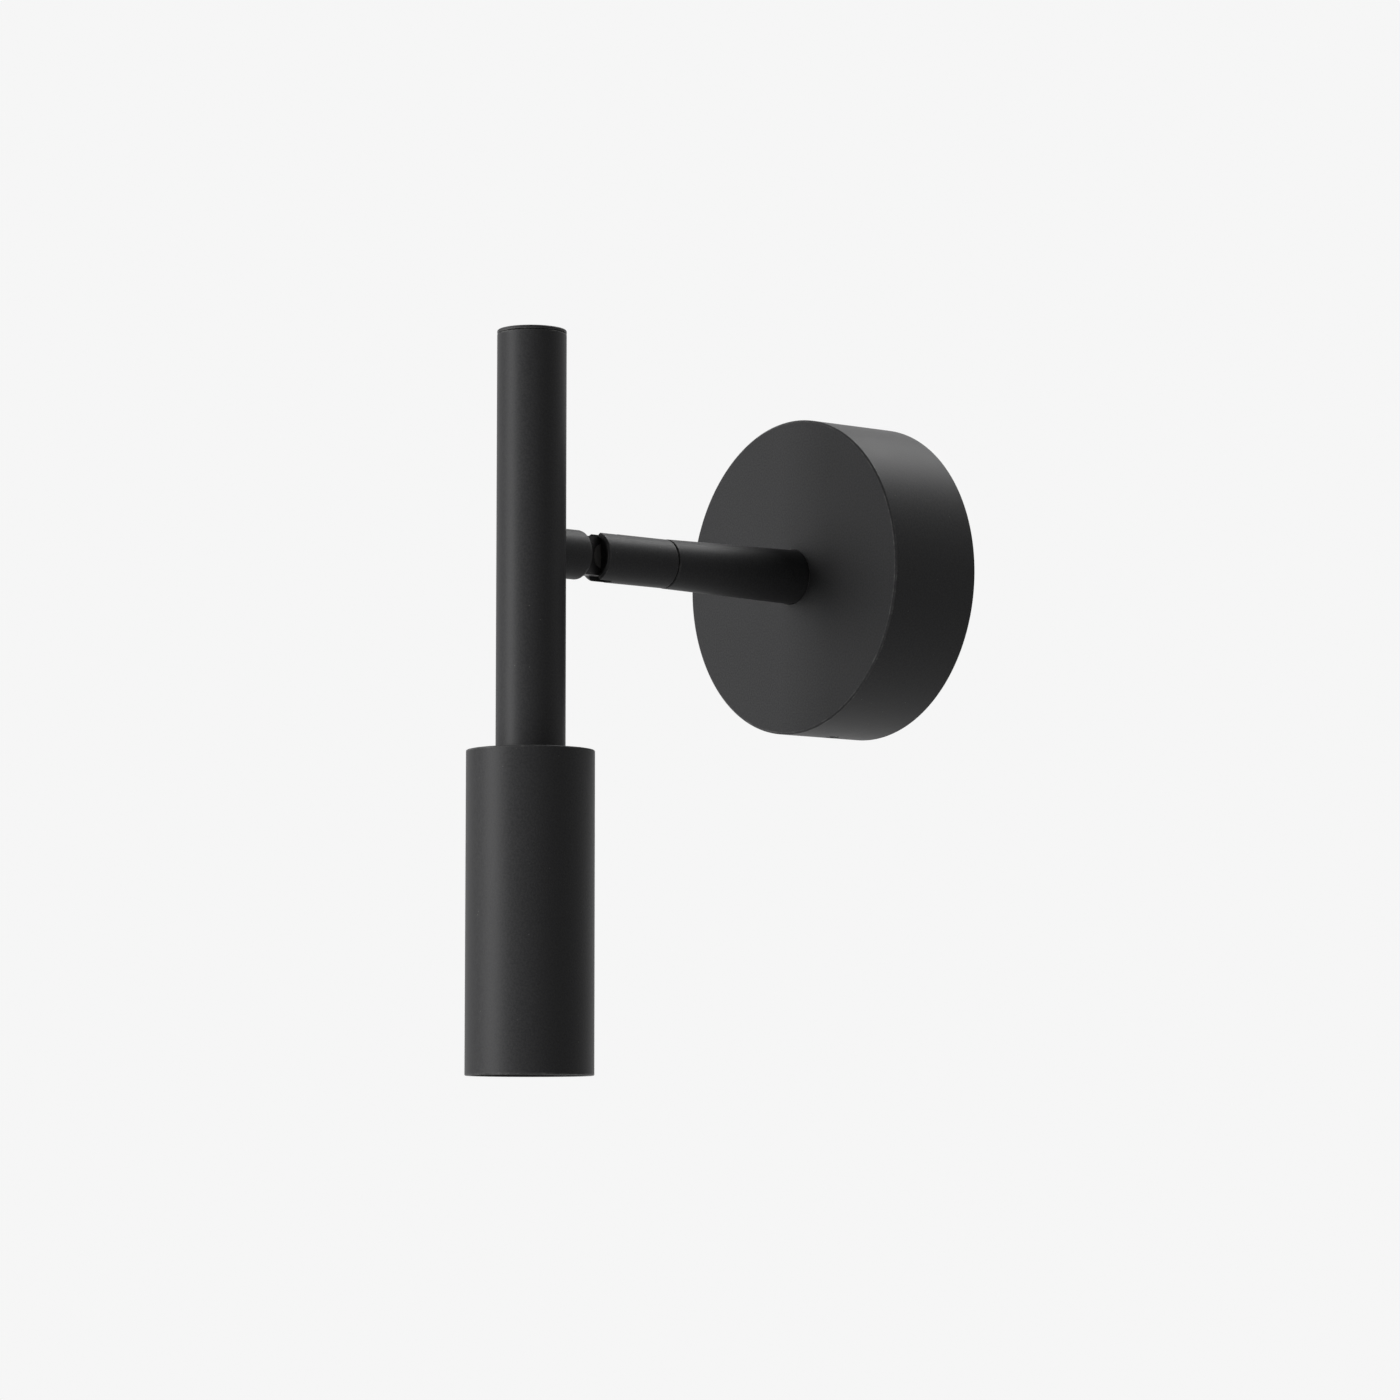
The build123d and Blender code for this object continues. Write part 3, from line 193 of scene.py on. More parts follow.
def soft_box(name, direction, distance, width, height, watts):
    """A rectangular lamp at a distance from the middle of the object, turned to face it."""
    lamp = bpy.data.objects.new(name, bpy.data.lights.new(name, "AREA"))
    lamp.data.shape = "RECTANGLE"
    lamp.data.size = width
    lamp.data.size_y = height
    lamp.data.energy = watts
    away = Vector(direction).normalized()
    lamp.location = (cad_low + cad_high) / 2 + distance * away
    lamp.rotation_mode = "QUATERNION"
    lamp.rotation_quaternion = away.to_track_quat("Z", "Y")
    bpy.context.scene.collection.objects.link(lamp)


soft_box("room_box", (-0.28, -0.96, 0.09), 1.3, 0.6, 0.8, 17.0)
soft_box("low_box", (0.00, -0.82, -0.57), 1.3, 0.7, 0.7, 3.5)
soft_box("wall_box", (0.00, 0.46, 0.89), 1.3, 0.7, 0.7, 11.0)
soft_box("side_box", (0.94, 0.08, -0.34), 1.3, 0.7, 0.7, 0.3)

# ---- Wall plate ----
# A steel disc with two ears folded up, zinc plated. It is screwed to the wall first and everything
# inside the canopy stands on it.

mm = 0.001


def finish(name, uniform, surface):
    """A material with uniform sockets and a surface worked out from the piece's own coordinates."""
    material = bpy.data.materials.new(name)
    material.use_nodes = True
    tree = material.node_tree
    shader = tree.nodes["Principled BSDF"]
    for socket, value in uniform.items():
        shader.inputs[socket].default_value = value
    place = Link(tree, None).node("TexCoord", output="Object")
    for socket, value in surface(place).items():
        tree.links.new(value.socket, shader.inputs[socket])
    return material


def grain(place, size, detail=2.0, stretch=(1.0, 1.0, 1.0)):
    """Cloudy noise from 0 to 1 whose features are about a size across, stretched along the axes."""
    scale = [1 / (size * part) for part in stretch]
    spot = place.node("Mapping", {}, {"Vector": place, "Scale": scale})
    sockets = {"Vector": spot, "Scale": 1.0, "Detail": detail}
    return place.node("TexNoise", {}, sockets, output="Fac")


def cells(place, size, output="Distance"):
    """Voronoi cells about a size across: the distance from a cell's middle, or its own colour."""
    return place.node("TexVoronoi", {}, {"Vector": place, "Scale": 1 / size}, output=output)


def relief(height, depth):
    """A bump whose height, from 0 to 1, stands for a depth in metres."""
    return height.node("Bump", {}, {"Strength": 1.0, "Distance": depth, "Height": height})


def dress(material, *nodes):
    """Puts a finish on CAD nodes as they are."""
    for node in nodes:
        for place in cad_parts[node].material_slots:
            place.material = material


def zinc_plating(place):
    """Spangled zinc: flat crystals a few millimetres across, under the sheet's rolling marks."""
    crystal = cells(place, 3.2 * mm, "Color").part(0)
    rolled = grain(place, 0.35 * mm, 3.0, (40, 1, 1))
    stain = grain(place, 14 * mm, 3.0)
    shade = crystal * 0.5 + stain * 0.5
    return {
        "Base Color": shade.blend((0.50, 0.52, 0.55, 1), (0.70, 0.72, 0.73, 1)),
        "Roughness": 0.30 + crystal * 0.12 + rolled * 0.16 + stain * 0.06,
        "Normal": relief(rolled * 0.7 + crystal * 0.3, 0.004 * mm),
    }


dress(finish("plate_steel", {"Metallic": 1.0}, zinc_plating), "wall_plate", "saddle_washer")

# ---- Cable grommet ----
# Soft black rubber, pressed into the plate's hole so that the supply cable can't chafe.


def soft_rubber(place):
    """Matt rubber, a little bloomed, with the fine grain of its mould."""
    bloom = grain(place, 5 * mm, 4.0)
    pores = grain(place, 0.25 * mm, 2.0)
    grey = bloom.between(0.45, 0.8)
    return {
        "Base Color": grey.blend((0.022, 0.022, 0.022, 1), (0.055, 0.054, 0.052, 1)),
        "Roughness": 0.72 + bloom * 0.18,
        "Normal": relief(pores, 0.012 * mm),
    }


dress(finish("grommet_rubber", {"Specular IOR Level": 0.35}, soft_rubber), "cable_grommet")

# ---- Canopy cover ----
# A deep round cap spun from aluminium, its rim edge turned off at 45 degrees, in fine black powder
# coat. It slips over the plate and two grub screws, above and below, lock it to the plate's ears.

canopy_low, canopy_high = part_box("canopy_cover")
canopy_radius = (canopy_high.x - canopy_low.x) / 2
canopy_depth = -canopy_low.y
canopy_wall = 1.6 * mm
canopy_face = 2.5 * mm
canopy_edge = 0.5 * mm
arm_seat_radius = 8.75 * mm
arm_seat_depth = 0.6 * mm
nipple_hole_radius = 5.15 * mm
grub_hole_radius = 2.15 * mm
grub_hole_out = 16.0 * mm
arm_direction = (0.0, -1.0, 0.0)


def around(centre, axis, side, radius, along, angle):
    """Points at a radius and an angle about an axis, a way along it; angle 0 is on the side."""
    axis, side = np.array(axis, float), np.array(side, float)
    across = np.cross(axis, side)
    ring = np.cos(angle)[..., None] * side + np.sin(angle)[..., None] * across
    return np.array(centre, float) + along[..., None] * axis + radius[..., None] * ring


def about_arm(row_radius, along, angle):
    """Points about the arm's axis, with one radius for each row; angle 0 is straight up."""
    radius = np.broadcast_to(row_radius[:, None], angle.shape)
    return around((0, 0, 0), arm_direction, (0, 0, 1), radius, along, angle)


def rounded(corners, closed):
    """Rows of (radius, along, edge) for a section given by corners (radius, along, fillet).

    Each corner becomes an arc that is tangent to both its sides, marked as an edge, with a row a
    little beyond each end of the arc so that the flats beside it stay flat when shaded smooth.
    """
    rows = []
    count = len(corners)
    for index, (radius, along, fillet) in enumerate(corners):
        if not closed and index in (0, count - 1):
            rows.append((radius, along, 0.0))
            continue
        here = np.array((radius, along))
        before = np.array(corners[index - 1][:2]) - here
        after = np.array(corners[(index + 1) % count][:2]) - here
        room = [np.linalg.norm(before), np.linalg.norm(after)]
        before, after = before / room[0], after / room[1]
        half = math.acos(np.clip(before @ after, -1, 1)) / 2
        reach = fillet / math.tan(half)
        middle = before + after
        centre = here + middle / np.linalg.norm(middle) * fillet / math.sin(half)
        start, end = here + before * reach - centre, here + after * reach - centre
        turn = math.pi - 2 * half
        support = [min(0.35 * mm, (space - 2 * reach) / 3) for space in room]
        rows.append((*(here + before * (reach + support[0])), 0.0))
        for step in np.linspace(0, 1, 5):
            bend = math.sin((1 - step) * turn) * start + math.sin(step * turn) * end
            rows.append((*(centre + bend / math.sin(turn)), 1.0))
        rows.append((*(here + after * (reach + support[1])), 0.0))
    return np.array(rows)


def outward(points, *face_sets):
    """The sets of faces of a closed shape, turned over if its signed volume is below zero.

    The volume is the sum over the faces of the box product of their corners.
    """
    volume = 0.0
    for faces in face_sets:
        corner = points[faces]
        for k in range(1, faces.shape[1] - 1):
            volume += np.einsum("ij,ij->", corner[:, 0], np.cross(corner[:, k], corner[:, k + 1]))
    return face_sets if volume > 0 else tuple(faces[:, ::-1] for faces in face_sets)


def new_piece(name, points, quads, edge, triangles=None, sharp=35.0):
    """A smooth-shaded object from points and faces, with the worn-edge share of each point."""
    faces = quads.tolist() + ([] if triangles is None else triangles.tolist())
    mesh = bpy.data.meshes.new(name)
    mesh.from_pydata(points.tolist(), [], faces)
    mesh.validate()
    mesh.attributes.new("edge", "FLOAT", "POINT").data.foreach_set("value", edge.astype(np.float32))
    mesh.shade_smooth()
    mesh.set_sharp_from_angle(angle=math.radians(sharp))
    piece = bpy.data.objects.new(name, mesh)
    bpy.context.scene.collection.objects.link(piece)
    return piece


def turned(name, corners, centre, axis, side, closed=True, count=160):
    """A piece turned on a lathe: its rounded section carried round an axis.

    A closed section gives a ring. An open one starts and ends on the axis, where a fan of
    triangles closes it.
    """
    rows = rounded(corners, closed)
    angle = np.linspace(0, 2 * math.pi, count, endpoint=False)
    radius, along = (np.repeat(rows[:, k, None], count, 1) for k in (0, 1))
    points = around(centre, axis, side, radius, along, np.broadcast_to(angle, radius.shape))
    edge = np.repeat(rows[:, 2, None], count, 1)
    index = np.arange(len(rows) * count).reshape(len(rows), count)
    following = np.roll(index, -1, 1)
    if closed:
        below, below_following = np.roll(index, -1, 0), np.roll(following, -1, 0)
        quads = np.stack([index, following, below_following, below], -1).reshape(-1, 4)
        points = points.reshape(-1, 3)
        return new_piece(name, points, *outward(points, quads), edge.ravel())
    inner, inner_following = index[1:-2], following[1:-2]
    quads = np.stack([inner, inner_following, following[2:-1], index[2:-1]], -1).reshape(-1, 4)
    first = np.stack([np.full(count, index[0, 0]), following[1], index[1]], -1)
    last = np.stack([np.full(count, index[-1, 0]), index[-2], following[-2]], -1)
    triangles = np.concatenate([first, last])
    points = points.reshape(-1, 3)
    quads, triangles = outward(points, quads, triangles)
    corners_used = np.concatenate([quads.ravel(), triangles.ravel()])
    used, renumbered = np.unique(corners_used, return_inverse=True)
    quads, triangles = np.split(renumbered, [quads.size])
    quads, triangles = quads.reshape(-1, 4), triangles.reshape(-1, 3)
    return new_piece(name, points[used], quads, edge.ravel()[used], triangles)


def shell(name, outer, inner, kept, row_edge):
    """A wall between two matching grids of points that close round, with cells left out for holes.

    The outer and the inner face carry the kept cells, and a strip of wall joins them wherever a
    kept cell borders a missing one or the end of the grid. Points that fall together, within a
    thousandth of a millimetre, become one: a cell with one such pair becomes the triangle that
    starts after the pair, and one with two pairs goes.
    """
    rows, count = outer.shape[:2]
    index = np.arange(rows * count).reshape(rows, count)
    following = np.roll(index, -1, 1)
    inside = rows * count
    cell = np.stack([index[:-1], following[:-1], following[1:], index[1:]], -1)[kept]
    faces = [cell, cell[:, ::-1] + inside]
    none = np.zeros((1, count), bool)
    above, under = np.concatenate([none, kept]), np.concatenate([kept, none])
    for here, direction in ((under & ~above, 1), (above & ~under, -1)):
        strip = np.stack([following, index, index + inside, following + inside], -1)[here]
        faces.append(strip[:, ::direction])
    left = np.roll(kept, 1, 1)
    for here, direction in ((kept & ~left, 1), (left & ~kept, -1)):
        strip = np.stack([index[:-1], index[1:], index[1:] + inside, index[:-1] + inside], -1)[here]
        faces.append(strip[:, ::direction])
    points = np.concatenate([outer.reshape(-1, 3), inner.reshape(-1, 3)])
    edge = np.concatenate([np.repeat(row_edge, count), np.zeros(rows * count)])
    rough = np.round(points / (0.001 * mm)).astype(int)
    first, together = np.unique(rough, axis=0, return_index=True, return_inverse=True)[1:]
    used, faces = np.unique(together.ravel()[np.concatenate(faces)], return_inverse=True)
    faces = faces.reshape(-1, 4)
    points, edge = points[first][used], edge[first][used]
    pairs = faces == np.roll(faces, -1, 1)
    after_pair = (pairs.argmax(1)[:, None] + np.arange(1, 4)) % 4
    triangles = np.take_along_axis(faces, after_pair, 1)[pairs.sum(1) == 1]
    quads, triangles = outward(points, faces[pairs.sum(1) == 0], triangles)
    return new_piece(name, points, quads, edge, triangles)


def pulled_round(across, along, centre_along, hole_radius, block):
    """Moves grid points near a hole so that a square block of cells becomes the round hole.

    Seen from the hole's centre, a point on the block's rim is moved to the hole's radius, one
    twice as far away stays where it is, and the move fades smoothly between them.
    """
    along = along - centre_along
    square = np.maximum(np.abs(across), np.abs(along))
    straight = np.maximum(np.hypot(across, along), 1e-9)
    fade = np.clip(square / block - 1, 0, 1)
    fade = fade * fade * (3 - 2 * fade)
    share = (1 - fade) * (hole_radius * square / block / straight) + fade
    return across * share, along * share + centre_along


def column_middles(angles):
    """The angles halfway between each column of a grid that closes round and the next."""
    following = np.roll(angles, -1)
    following[-1] += 2 * math.pi
    return (angles + following) / 2


def powder_coat(place):
    """Satin black powder coat: a dry grain over a soft orange peel, rubbed paler on the edges."""
    peel = grain(place, 1.3 * mm, 2.0)
    dry = grain(place, 0.55 * mm, 3.0).between(0.30, 0.70)
    cloud = grain(place, 38 * mm, 3.0)
    scuff = grain(place, 2.4 * mm, 5.0).between(0.42, 0.72)
    edge = place.node("Attribute", {"attribute_name": "edge"}, output="Fac")
    worn = edge * (scuff * 0.45 + 0.1)
    chosen = cells(place, 2.6 * mm, "Color").part(1).between(0.80, 0.84)
    speck = cells(place, 2.6 * mm).between(0.10, 0.05) * chosen
    base = (cloud * 0.3 + dry * 0.7).blend((0.021, 0.021, 0.022, 1), (0.036, 0.036, 0.037, 1))
    rubbed = worn.blend(base, (0.13, 0.13, 0.128, 1))
    return {
        "Base Color": (speck * 0.5).blend(rubbed, (0.13, 0.128, 0.122, 1)),
        "Roughness": 0.42 + cloud * 0.07 + dry * 0.06 - worn * 0.2,
        "Normal": relief(peel * 0.5 + dry * 0.5, 0.016 * mm),
    }


black_powder = finish("black_powder", {"Specular IOR Level": 0.14}, powder_coat)

grub_block = 2.2 * mm
grub_rows = grub_hole_out + np.linspace(-1.5, 1.5, 13) * grub_block
side_run = np.concatenate([np.linspace(0, 12, 4) * mm, grub_rows, np.linspace(20, 32, 5) * mm])
rim_row = 1
face_row = 15
canopy_outer = rounded(
    [
        (canopy_radius, 0, 0.3 * mm),
        (canopy_radius, canopy_depth - canopy_edge, 0.12 * mm),
        (canopy_radius - canopy_edge, canopy_depth, 0.12 * mm),
        (arm_seat_radius, canopy_depth, 0.12 * mm),
        (arm_seat_radius, canopy_depth - arm_seat_depth, 0.05 * mm),
        (nipple_hole_radius, canopy_depth - arm_seat_depth, 0),
    ],
    closed=False,
)
flat_side = np.array([(canopy_radius, along, 0.0) for along in side_run])
face_flat = np.array([(radius * mm, canopy_depth, 0.0) for radius in np.linspace(46, 12, 8)])
canopy_outer = np.concatenate([
    flat_side, canopy_outer[rim_row:face_row], face_flat, canopy_outer[face_row:],
])
canopy_inner = canopy_outer.copy()
on_side = canopy_outer[:, 0] > canopy_radius - canopy_edge
canopy_inner[:, 0] = np.minimum(canopy_outer[:, 0], canopy_radius - canopy_wall)
canopy_inner[:, 1] = np.where(
    on_side, np.minimum(canopy_outer[:, 1], canopy_depth - canopy_face), canopy_depth - canopy_face
)
fine_angle = np.linspace(-2, 2, 13) * grub_block / canopy_radius
coarse_angle = np.linspace(fine_angle[-1], math.pi - fine_angle[-1], 80)[1:-1]
half_round = np.concatenate([fine_angle, coarse_angle])
canopy_angle = np.concatenate([half_round, math.pi + half_round])
across = np.broadcast_to(canopy_angle, (len(canopy_outer), len(canopy_angle)))
from_hole = (across + math.pi / 2) % math.pi - math.pi / 2
base_angle = across - from_hole
run = np.repeat(canopy_outer[:, 1, None], len(canopy_angle), 1)
moved_across, moved_run = pulled_round(
    from_hole * canopy_radius, run, grub_hole_out, grub_hole_radius, grub_block
)
beside = np.repeat(on_side[:, None], len(canopy_angle), 1)
angle = base_angle + np.where(beside, moved_across, from_hole * canopy_radius) / canopy_radius
run = np.where(beside, moved_run, run)
inner_run = np.minimum(run, canopy_inner[:, 1, None])
middle_angle = column_middles(canopy_angle)
middle_across = ((middle_angle + math.pi / 2) % math.pi - math.pi / 2) * canopy_radius
middle_run = (canopy_outer[:-1, 1] + canopy_outer[1:, 1])[:, None] / 2 - grub_hole_out
in_columns = (np.abs(middle_across) < grub_block)[None]
in_hole = in_columns & (np.abs(middle_run) < grub_block) & beside[:-1]
canopy = shell(
    "canopy_shell",
    about_arm(canopy_outer[:, 0], run, angle),
    about_arm(canopy_inner[:, 0], inner_run, angle),
    ~in_hole,
    canopy_outer[:, 2],
)
edge_break = canopy.modifiers.new("edge_break", "BEVEL")
edge_break.width = 0.1 * mm
edge_break.segments = 2
edge_break.limit_method = "ANGLE"
edge_break.angle_limit = math.radians(40)
edge_break.harden_normals = False
canopy.data.materials.append(black_powder)
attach(canopy, "base")
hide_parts("canopy_cover")

# ---- Cover screws ----
# Two short cup-point grub screws of blackened steel, one above and one below, turned with a hexagon
# key until they grip the plate's ears.


def blackened_steel(place):
    """Chemically blackened steel: oily dark patches, and bare metal where it is handled."""
    patch = grain(place, 2.6 * mm, 4.0)
    scratch = grain(place, 0.3 * mm, 3.0, (12, 1, 1))
    rub = (patch * scratch).between(0.28, 0.50)
    return {
        "Base Color": rub.blend((0.028, 0.027, 0.028, 1), (0.09, 0.087, 0.083, 1)),
        "Roughness": 0.34 + patch * 0.16 - rub * 0.06,
        "Normal": relief(scratch, 0.004 * mm),
    }


dress(
    finish("dark_steel", {"Metallic": 0.85}, blackened_steel),
    "cover_screws", "barrel_set_screw", "knuckle_fork",
)

# ---- Terminal block ----
# A three-way block moulded in ivory polyamide, held to the plate by one long screw. Plated screws
# clamp the supply's cores in its brass tubes.


def moulded_plastic(light, dark, speckle):
    """A moulded satin skin with a spark-eroded texture and faint grey handling marks."""

    def surface(place):
        skin = grain(place, 0.22 * mm, 2.0)
        flow = grain(place, 9 * mm, 4.0)
        mark = grain(place, 3.5 * mm, 5.0).between(0.62, 0.78)
        shade = (flow * 0.7 + mark * 0.5 + skin * speckle).math("MINIMUM", 1.0)
        return {
            "Base Color": shade.blend((*light, 1), (*dark, 1)),
            "Roughness": 0.42 + skin * 0.14 + mark * 0.1,
            "Normal": relief(skin, 0.008 * mm),
        }

    return surface


def plated_steel(place):
    """Bright zinc on small turned parts: fine tool rings, soft stains, and rubbed high spots."""
    tool = grain(place, 0.12 * mm, 2.0, (1, 6, 1))
    stain = grain(place, 1.8 * mm, 4.0)
    return {
        "Base Color": stain.blend((0.44, 0.45, 0.47, 1), (0.64, 0.64, 0.63, 1)),
        "Roughness": 0.24 + tool * 0.14 + stain * 0.12,
        "Normal": relief(tool, 0.003 * mm),
    }


terminal_plastic = finish(
    "terminal_plastic",
    {"Specular IOR Level": 0.45},
    moulded_plastic((0.80, 0.77, 0.68), (0.62, 0.58, 0.50), 0.1),
)
screw_steel = finish("screw_steel", {"Metallic": 1.0}, plated_steel)
dress(terminal_plastic, "terminal_block", "cord_grip")
dress(screw_steel, "terminal_screws", "terminal_fixing_screw")

# ---- Earth connection ----
# A tinned brass ring tag under a plated screw in the plate, which bonds the metal body to the
# supply's earth core.


def tinned_brass_skin(place):
    """Dull tin with the brass showing through where it has been bent and clamped."""
    through = grain(place, 1.4 * mm, 4.0).between(0.55, 0.72)
    hammer = grain(place, 0.4 * mm, 2.0)
    return {
        "Base Color": through.blend((0.60, 0.60, 0.58, 1), (0.64, 0.48, 0.24, 1)),
        "Roughness": 0.36 + hammer * 0.16,
        "Normal": relief(hammer, 0.006 * mm),
    }


dress(finish("tinned_brass", {"Metallic": 1.0}, tinned_brass_skin), "earth_tag")
dress(screw_steel, "earth_screw")

# ---- Driver ----
# A small constant-current driver in a white moulded box: a base that two screws hold, a lid that
# snaps on, and a board with its transformer and capacitors.


def printed_board(place):
    """Green solder mask over copper tracks, which run straight and show as paler raised lines."""
    track_cells = place.node(
        "TexVoronoi",
        {"feature": "DISTANCE_TO_EDGE"},
        {"Vector": place, "Scale": 1 / (2.4 * mm)},
    )
    track = track_cells.between(0.16, 0.10)
    weave = grain(place, 0.3 * mm, 1.0)
    shade = track * 0.8 + weave * 0.15
    return {
        "Base Color": shade.blend((0.010, 0.085, 0.035, 1), (0.035, 0.20, 0.085, 1)),
        "Roughness": 0.26 + weave * 0.14,
        "Normal": relief(track * 0.8 + weave * 0.2, 0.02 * mm),
    }


transformer_half_length = 7.2 * mm


def wound_parts(place):
    """Yellow tape turns round the transformer in the middle, sleeved capacitors on either side."""
    off_middle = place.part(0).math("ABSOLUTE")
    beside = off_middle.between(transformer_half_length, transformer_half_length * 1.05)
    turn = (place.part(1) * (1 / (0.9 * mm))).math("FRACT").between(0.05, 0.2)
    crease = grain(place, 0.8 * mm, 3.0)
    tape = (turn * 0.7 + crease * 0.3).blend((0.42, 0.27, 0.03, 1), (0.78, 0.56, 0.09, 1))
    sleeve = crease.blend((0.012, 0.014, 0.022, 1), (0.035, 0.040, 0.060, 1))
    return {
        "Base Color": beside.blend(tape, sleeve),
        "Roughness": 0.34 + crease * 0.2,
        "Normal": relief(turn * 0.5 + crease * 0.5, 0.03 * mm),
    }


driver_plastic = finish(
    "driver_plastic",
    {"Specular IOR Level": 0.45},
    moulded_plastic((0.84, 0.84, 0.82), (0.68, 0.68, 0.66), 0.12),
)
dress(driver_plastic, "driver_base", "driver_lid")
dress(finish("board_green", {}, printed_board), "driver_board")
dress(finish("component_plastic", {}, wound_parts), "driver_parts")
dress(screw_steel, "driver_screws")

# ---- Supply wires ----
# Single cores in PVC sleeves, brown, blue and striped green and yellow, bent down from the terminal
# block to the driver and to the earth screw.


def wire_sleeve(colour, shade):
    """Extruded PVC: a waxy skin with faint lines along its run, greyer where fingers bent it."""

    def surface(place):
        draw = grain(place, 0.16 * mm, 2.0, (1, 1, 0.1))
        wax = grain(place, 4 * mm, 3.0)
        return {
            "Base Color": (wax * 0.8 + draw * 0.2).blend((*colour, 1), (*shade, 1)),
            "Roughness": 0.34 + draw * 0.12 + wax * 0.12,
            "Normal": relief(draw, 0.006 * mm),
        }

    return surface


stripe_pitch = 3.4 * mm


def striped_sleeve(place):
    """The same PVC in green with yellow stripes that wind slowly round the wire."""
    plain = wire_sleeve((0.02, 0.16, 0.03), (0.03, 0.22, 0.05))(place)
    winding = (place.part(0) * 2.0 + place.part(1) * 2.0 + place.part(2)) * (1 / stripe_pitch)
    stripe = (winding.math("FRACT") - 0.5).math("ABSOLUTE").between(0.22, 0.26)
    plain["Base Color"] = stripe.blend(plain["Base Color"], (0.72, 0.55, 0.03, 1))
    return plain


dress(
    finish("live_brown", {}, wire_sleeve((0.095, 0.036, 0.014), (0.14, 0.06, 0.026))),
    "live_wire",
)
dress(
    finish("neutral_blue", {}, wire_sleeve((0.02, 0.075, 0.28), (0.035, 0.11, 0.36))),
    "neutral_wire",
)
dress(finish("earth_green", {}, striped_sleeve), "earth_wire")

# ---- Arm fixing ----
# A hollow brass nipple screws into the arm's foot through the canopy's face. A washer and a nut
# pull it tight from inside, and a moulded grip with one screw holds the lead.


def turned_brass_skin(place):
    """Brass from the lathe: close tool rings round the arm's axis and a little brown tarnish."""
    ring = grain(place, 0.14 * mm, 2.0, (0.04, 1, 0.04))
    tarnish = grain(place, 3 * mm, 4.0).between(0.4, 0.75)
    return {
        "Base Color": tarnish.blend((0.72, 0.50, 0.20, 1), (0.40, 0.25, 0.10, 1)),
        "Roughness": 0.22 + ring * 0.16 + tarnish * 0.14,
        "Normal": relief(ring, 0.006 * mm),
    }


dress(finish("turned_brass", {"Metallic": 1.0}, turned_brass_skin), "arm_nipple", "swivel_spindle")
dress(screw_steel, "arm_washer", "arm_nut", "cord_grip_screw")

# ---- Arm tube ----
# A slightly conical tube, thickest at the canopy, where it stands in a shallow seat. Its end is cut
# square and its edge just broken, which leaves a fine groove against the barrel.

arm_foot = 32.4 * mm
arm_end = 84.5 * mm
arm_foot_radius = 8.6 * mm
arm_end_radius = 7.7 * mm
arm_bore_radius = 5.45 * mm
arm_end_break = 0.4 * mm

arm = turned(
    "arm_tube_shell",
    [
        (arm_bore_radius, arm_foot, 0.1 * mm),
        (arm_foot_radius, arm_foot, 0.15 * mm),
        (arm_end_radius, arm_end, arm_end_break),
        (arm_bore_radius, arm_end, 0.1 * mm),
    ],
    (0, 0, 0), arm_direction, (0, 0, 1), count=128,
)
arm.data.materials.append(black_powder)
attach(arm, "base")
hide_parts("arm_tube")

# ---- Swivel ----
# A hardened disc and a cone spring keep the barrel turning stiffly on the brass spindle, and a pin
# in the arm's end stops it before the lead is twisted too far.


def hardened_steel(place):
    """Spring steel with a straw temper, polished and scored in circles by the parts beside it."""
    score = grain(place, 0.1 * mm, 2.0, (1, 8, 1))
    temper = grain(place, 2.2 * mm, 3.0)
    return {
        "Base Color": temper.blend((0.34, 0.34, 0.36, 1), (0.46, 0.41, 0.33, 1)),
        "Roughness": 0.20 + score * 0.18,
        "Normal": relief(score, 0.003 * mm),
    }


dress(
    finish("spring_steel", {"Metallic": 1.0}, hardened_steel),
    "swivel_disc", "disc_spring", "stop_pin", "pivot_pin",
)

# ---- Lead ----
# A round twin lead in a black sleeve, from the driver through the nipple, the arm and the spindle
# into the barrel.

dress(
    finish("lead_sleeve", {}, wire_sleeve((0.022, 0.022, 0.022), (0.045, 0.045, 0.046))),
    "arm_lead",
)

# ---- Barrel ----
# A black sleeve that turns on the arm's end. Two slots at its mouth, the upper one longer, let the
# knuckle's tongue swing, and a sunk grub screw on top locks it to the fork inside.

barrel_low, barrel_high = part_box("barrel_sleeve")
barrel_radius = (barrel_high.x - barrel_low.x) / 2
barrel_back = -barrel_high.y
barrel_mouth = -barrel_low.y
barrel_floor = 3.0 * mm
barrel_wall = 1.3 * mm
barrel_bore_radius = barrel_radius - barrel_wall
bearing_radius = 4.05 * mm
bearing_break = 0.2 * mm
groove_break = 0.25 * mm
mouth_break = 0.6 * mm
slot_half_width = 2.25 * mm
slot_above_from = 103.84 * mm
slot_below_from = 106.92 * mm
set_screw_out = 100.55 * mm
set_screw_hole_radius = 1.55 * mm
set_screw_block = 1.6 * mm
slot_fade_angle = 0.6

barrel_outer = rounded(
    [
        (bearing_radius, barrel_back, 0),
        (barrel_radius, barrel_back, groove_break),
        (barrel_radius, barrel_mouth - mouth_break, 0.25 * mm),
        (barrel_radius - mouth_break, barrel_mouth, 0.12 * mm),
        (barrel_bore_radius, barrel_mouth, 0),
    ],
    closed=False,
)
screw_run = set_screw_out + np.linspace(-2, 2, 17) * set_screw_block
slot_above_run = np.array([slot_above_from, 104.9 * mm, 105.9 * mm])
slot_below_run = np.array([slot_below_from, 108 * mm, 109.5 * mm, 111 * mm])
floor_run = np.array([86.5 * mm, barrel_back + barrel_floor, barrel_back + barrel_floor])
straight_run = np.concatenate([
    floor_run, np.linspace(90, 96, 4) * mm, screw_run[1:-1], slot_above_run, slot_below_run,
])
barrel_side = np.array([(barrel_radius, along, 0.0) for along in straight_run])
side_row = 8
barrel_outer = np.concatenate([barrel_outer[:side_row], barrel_side, barrel_outer[side_row:]])
barrel_inner = barrel_outer.copy()
above_floor = np.cumsum(barrel_outer[:, 1] >= barrel_back + barrel_floor) > 1
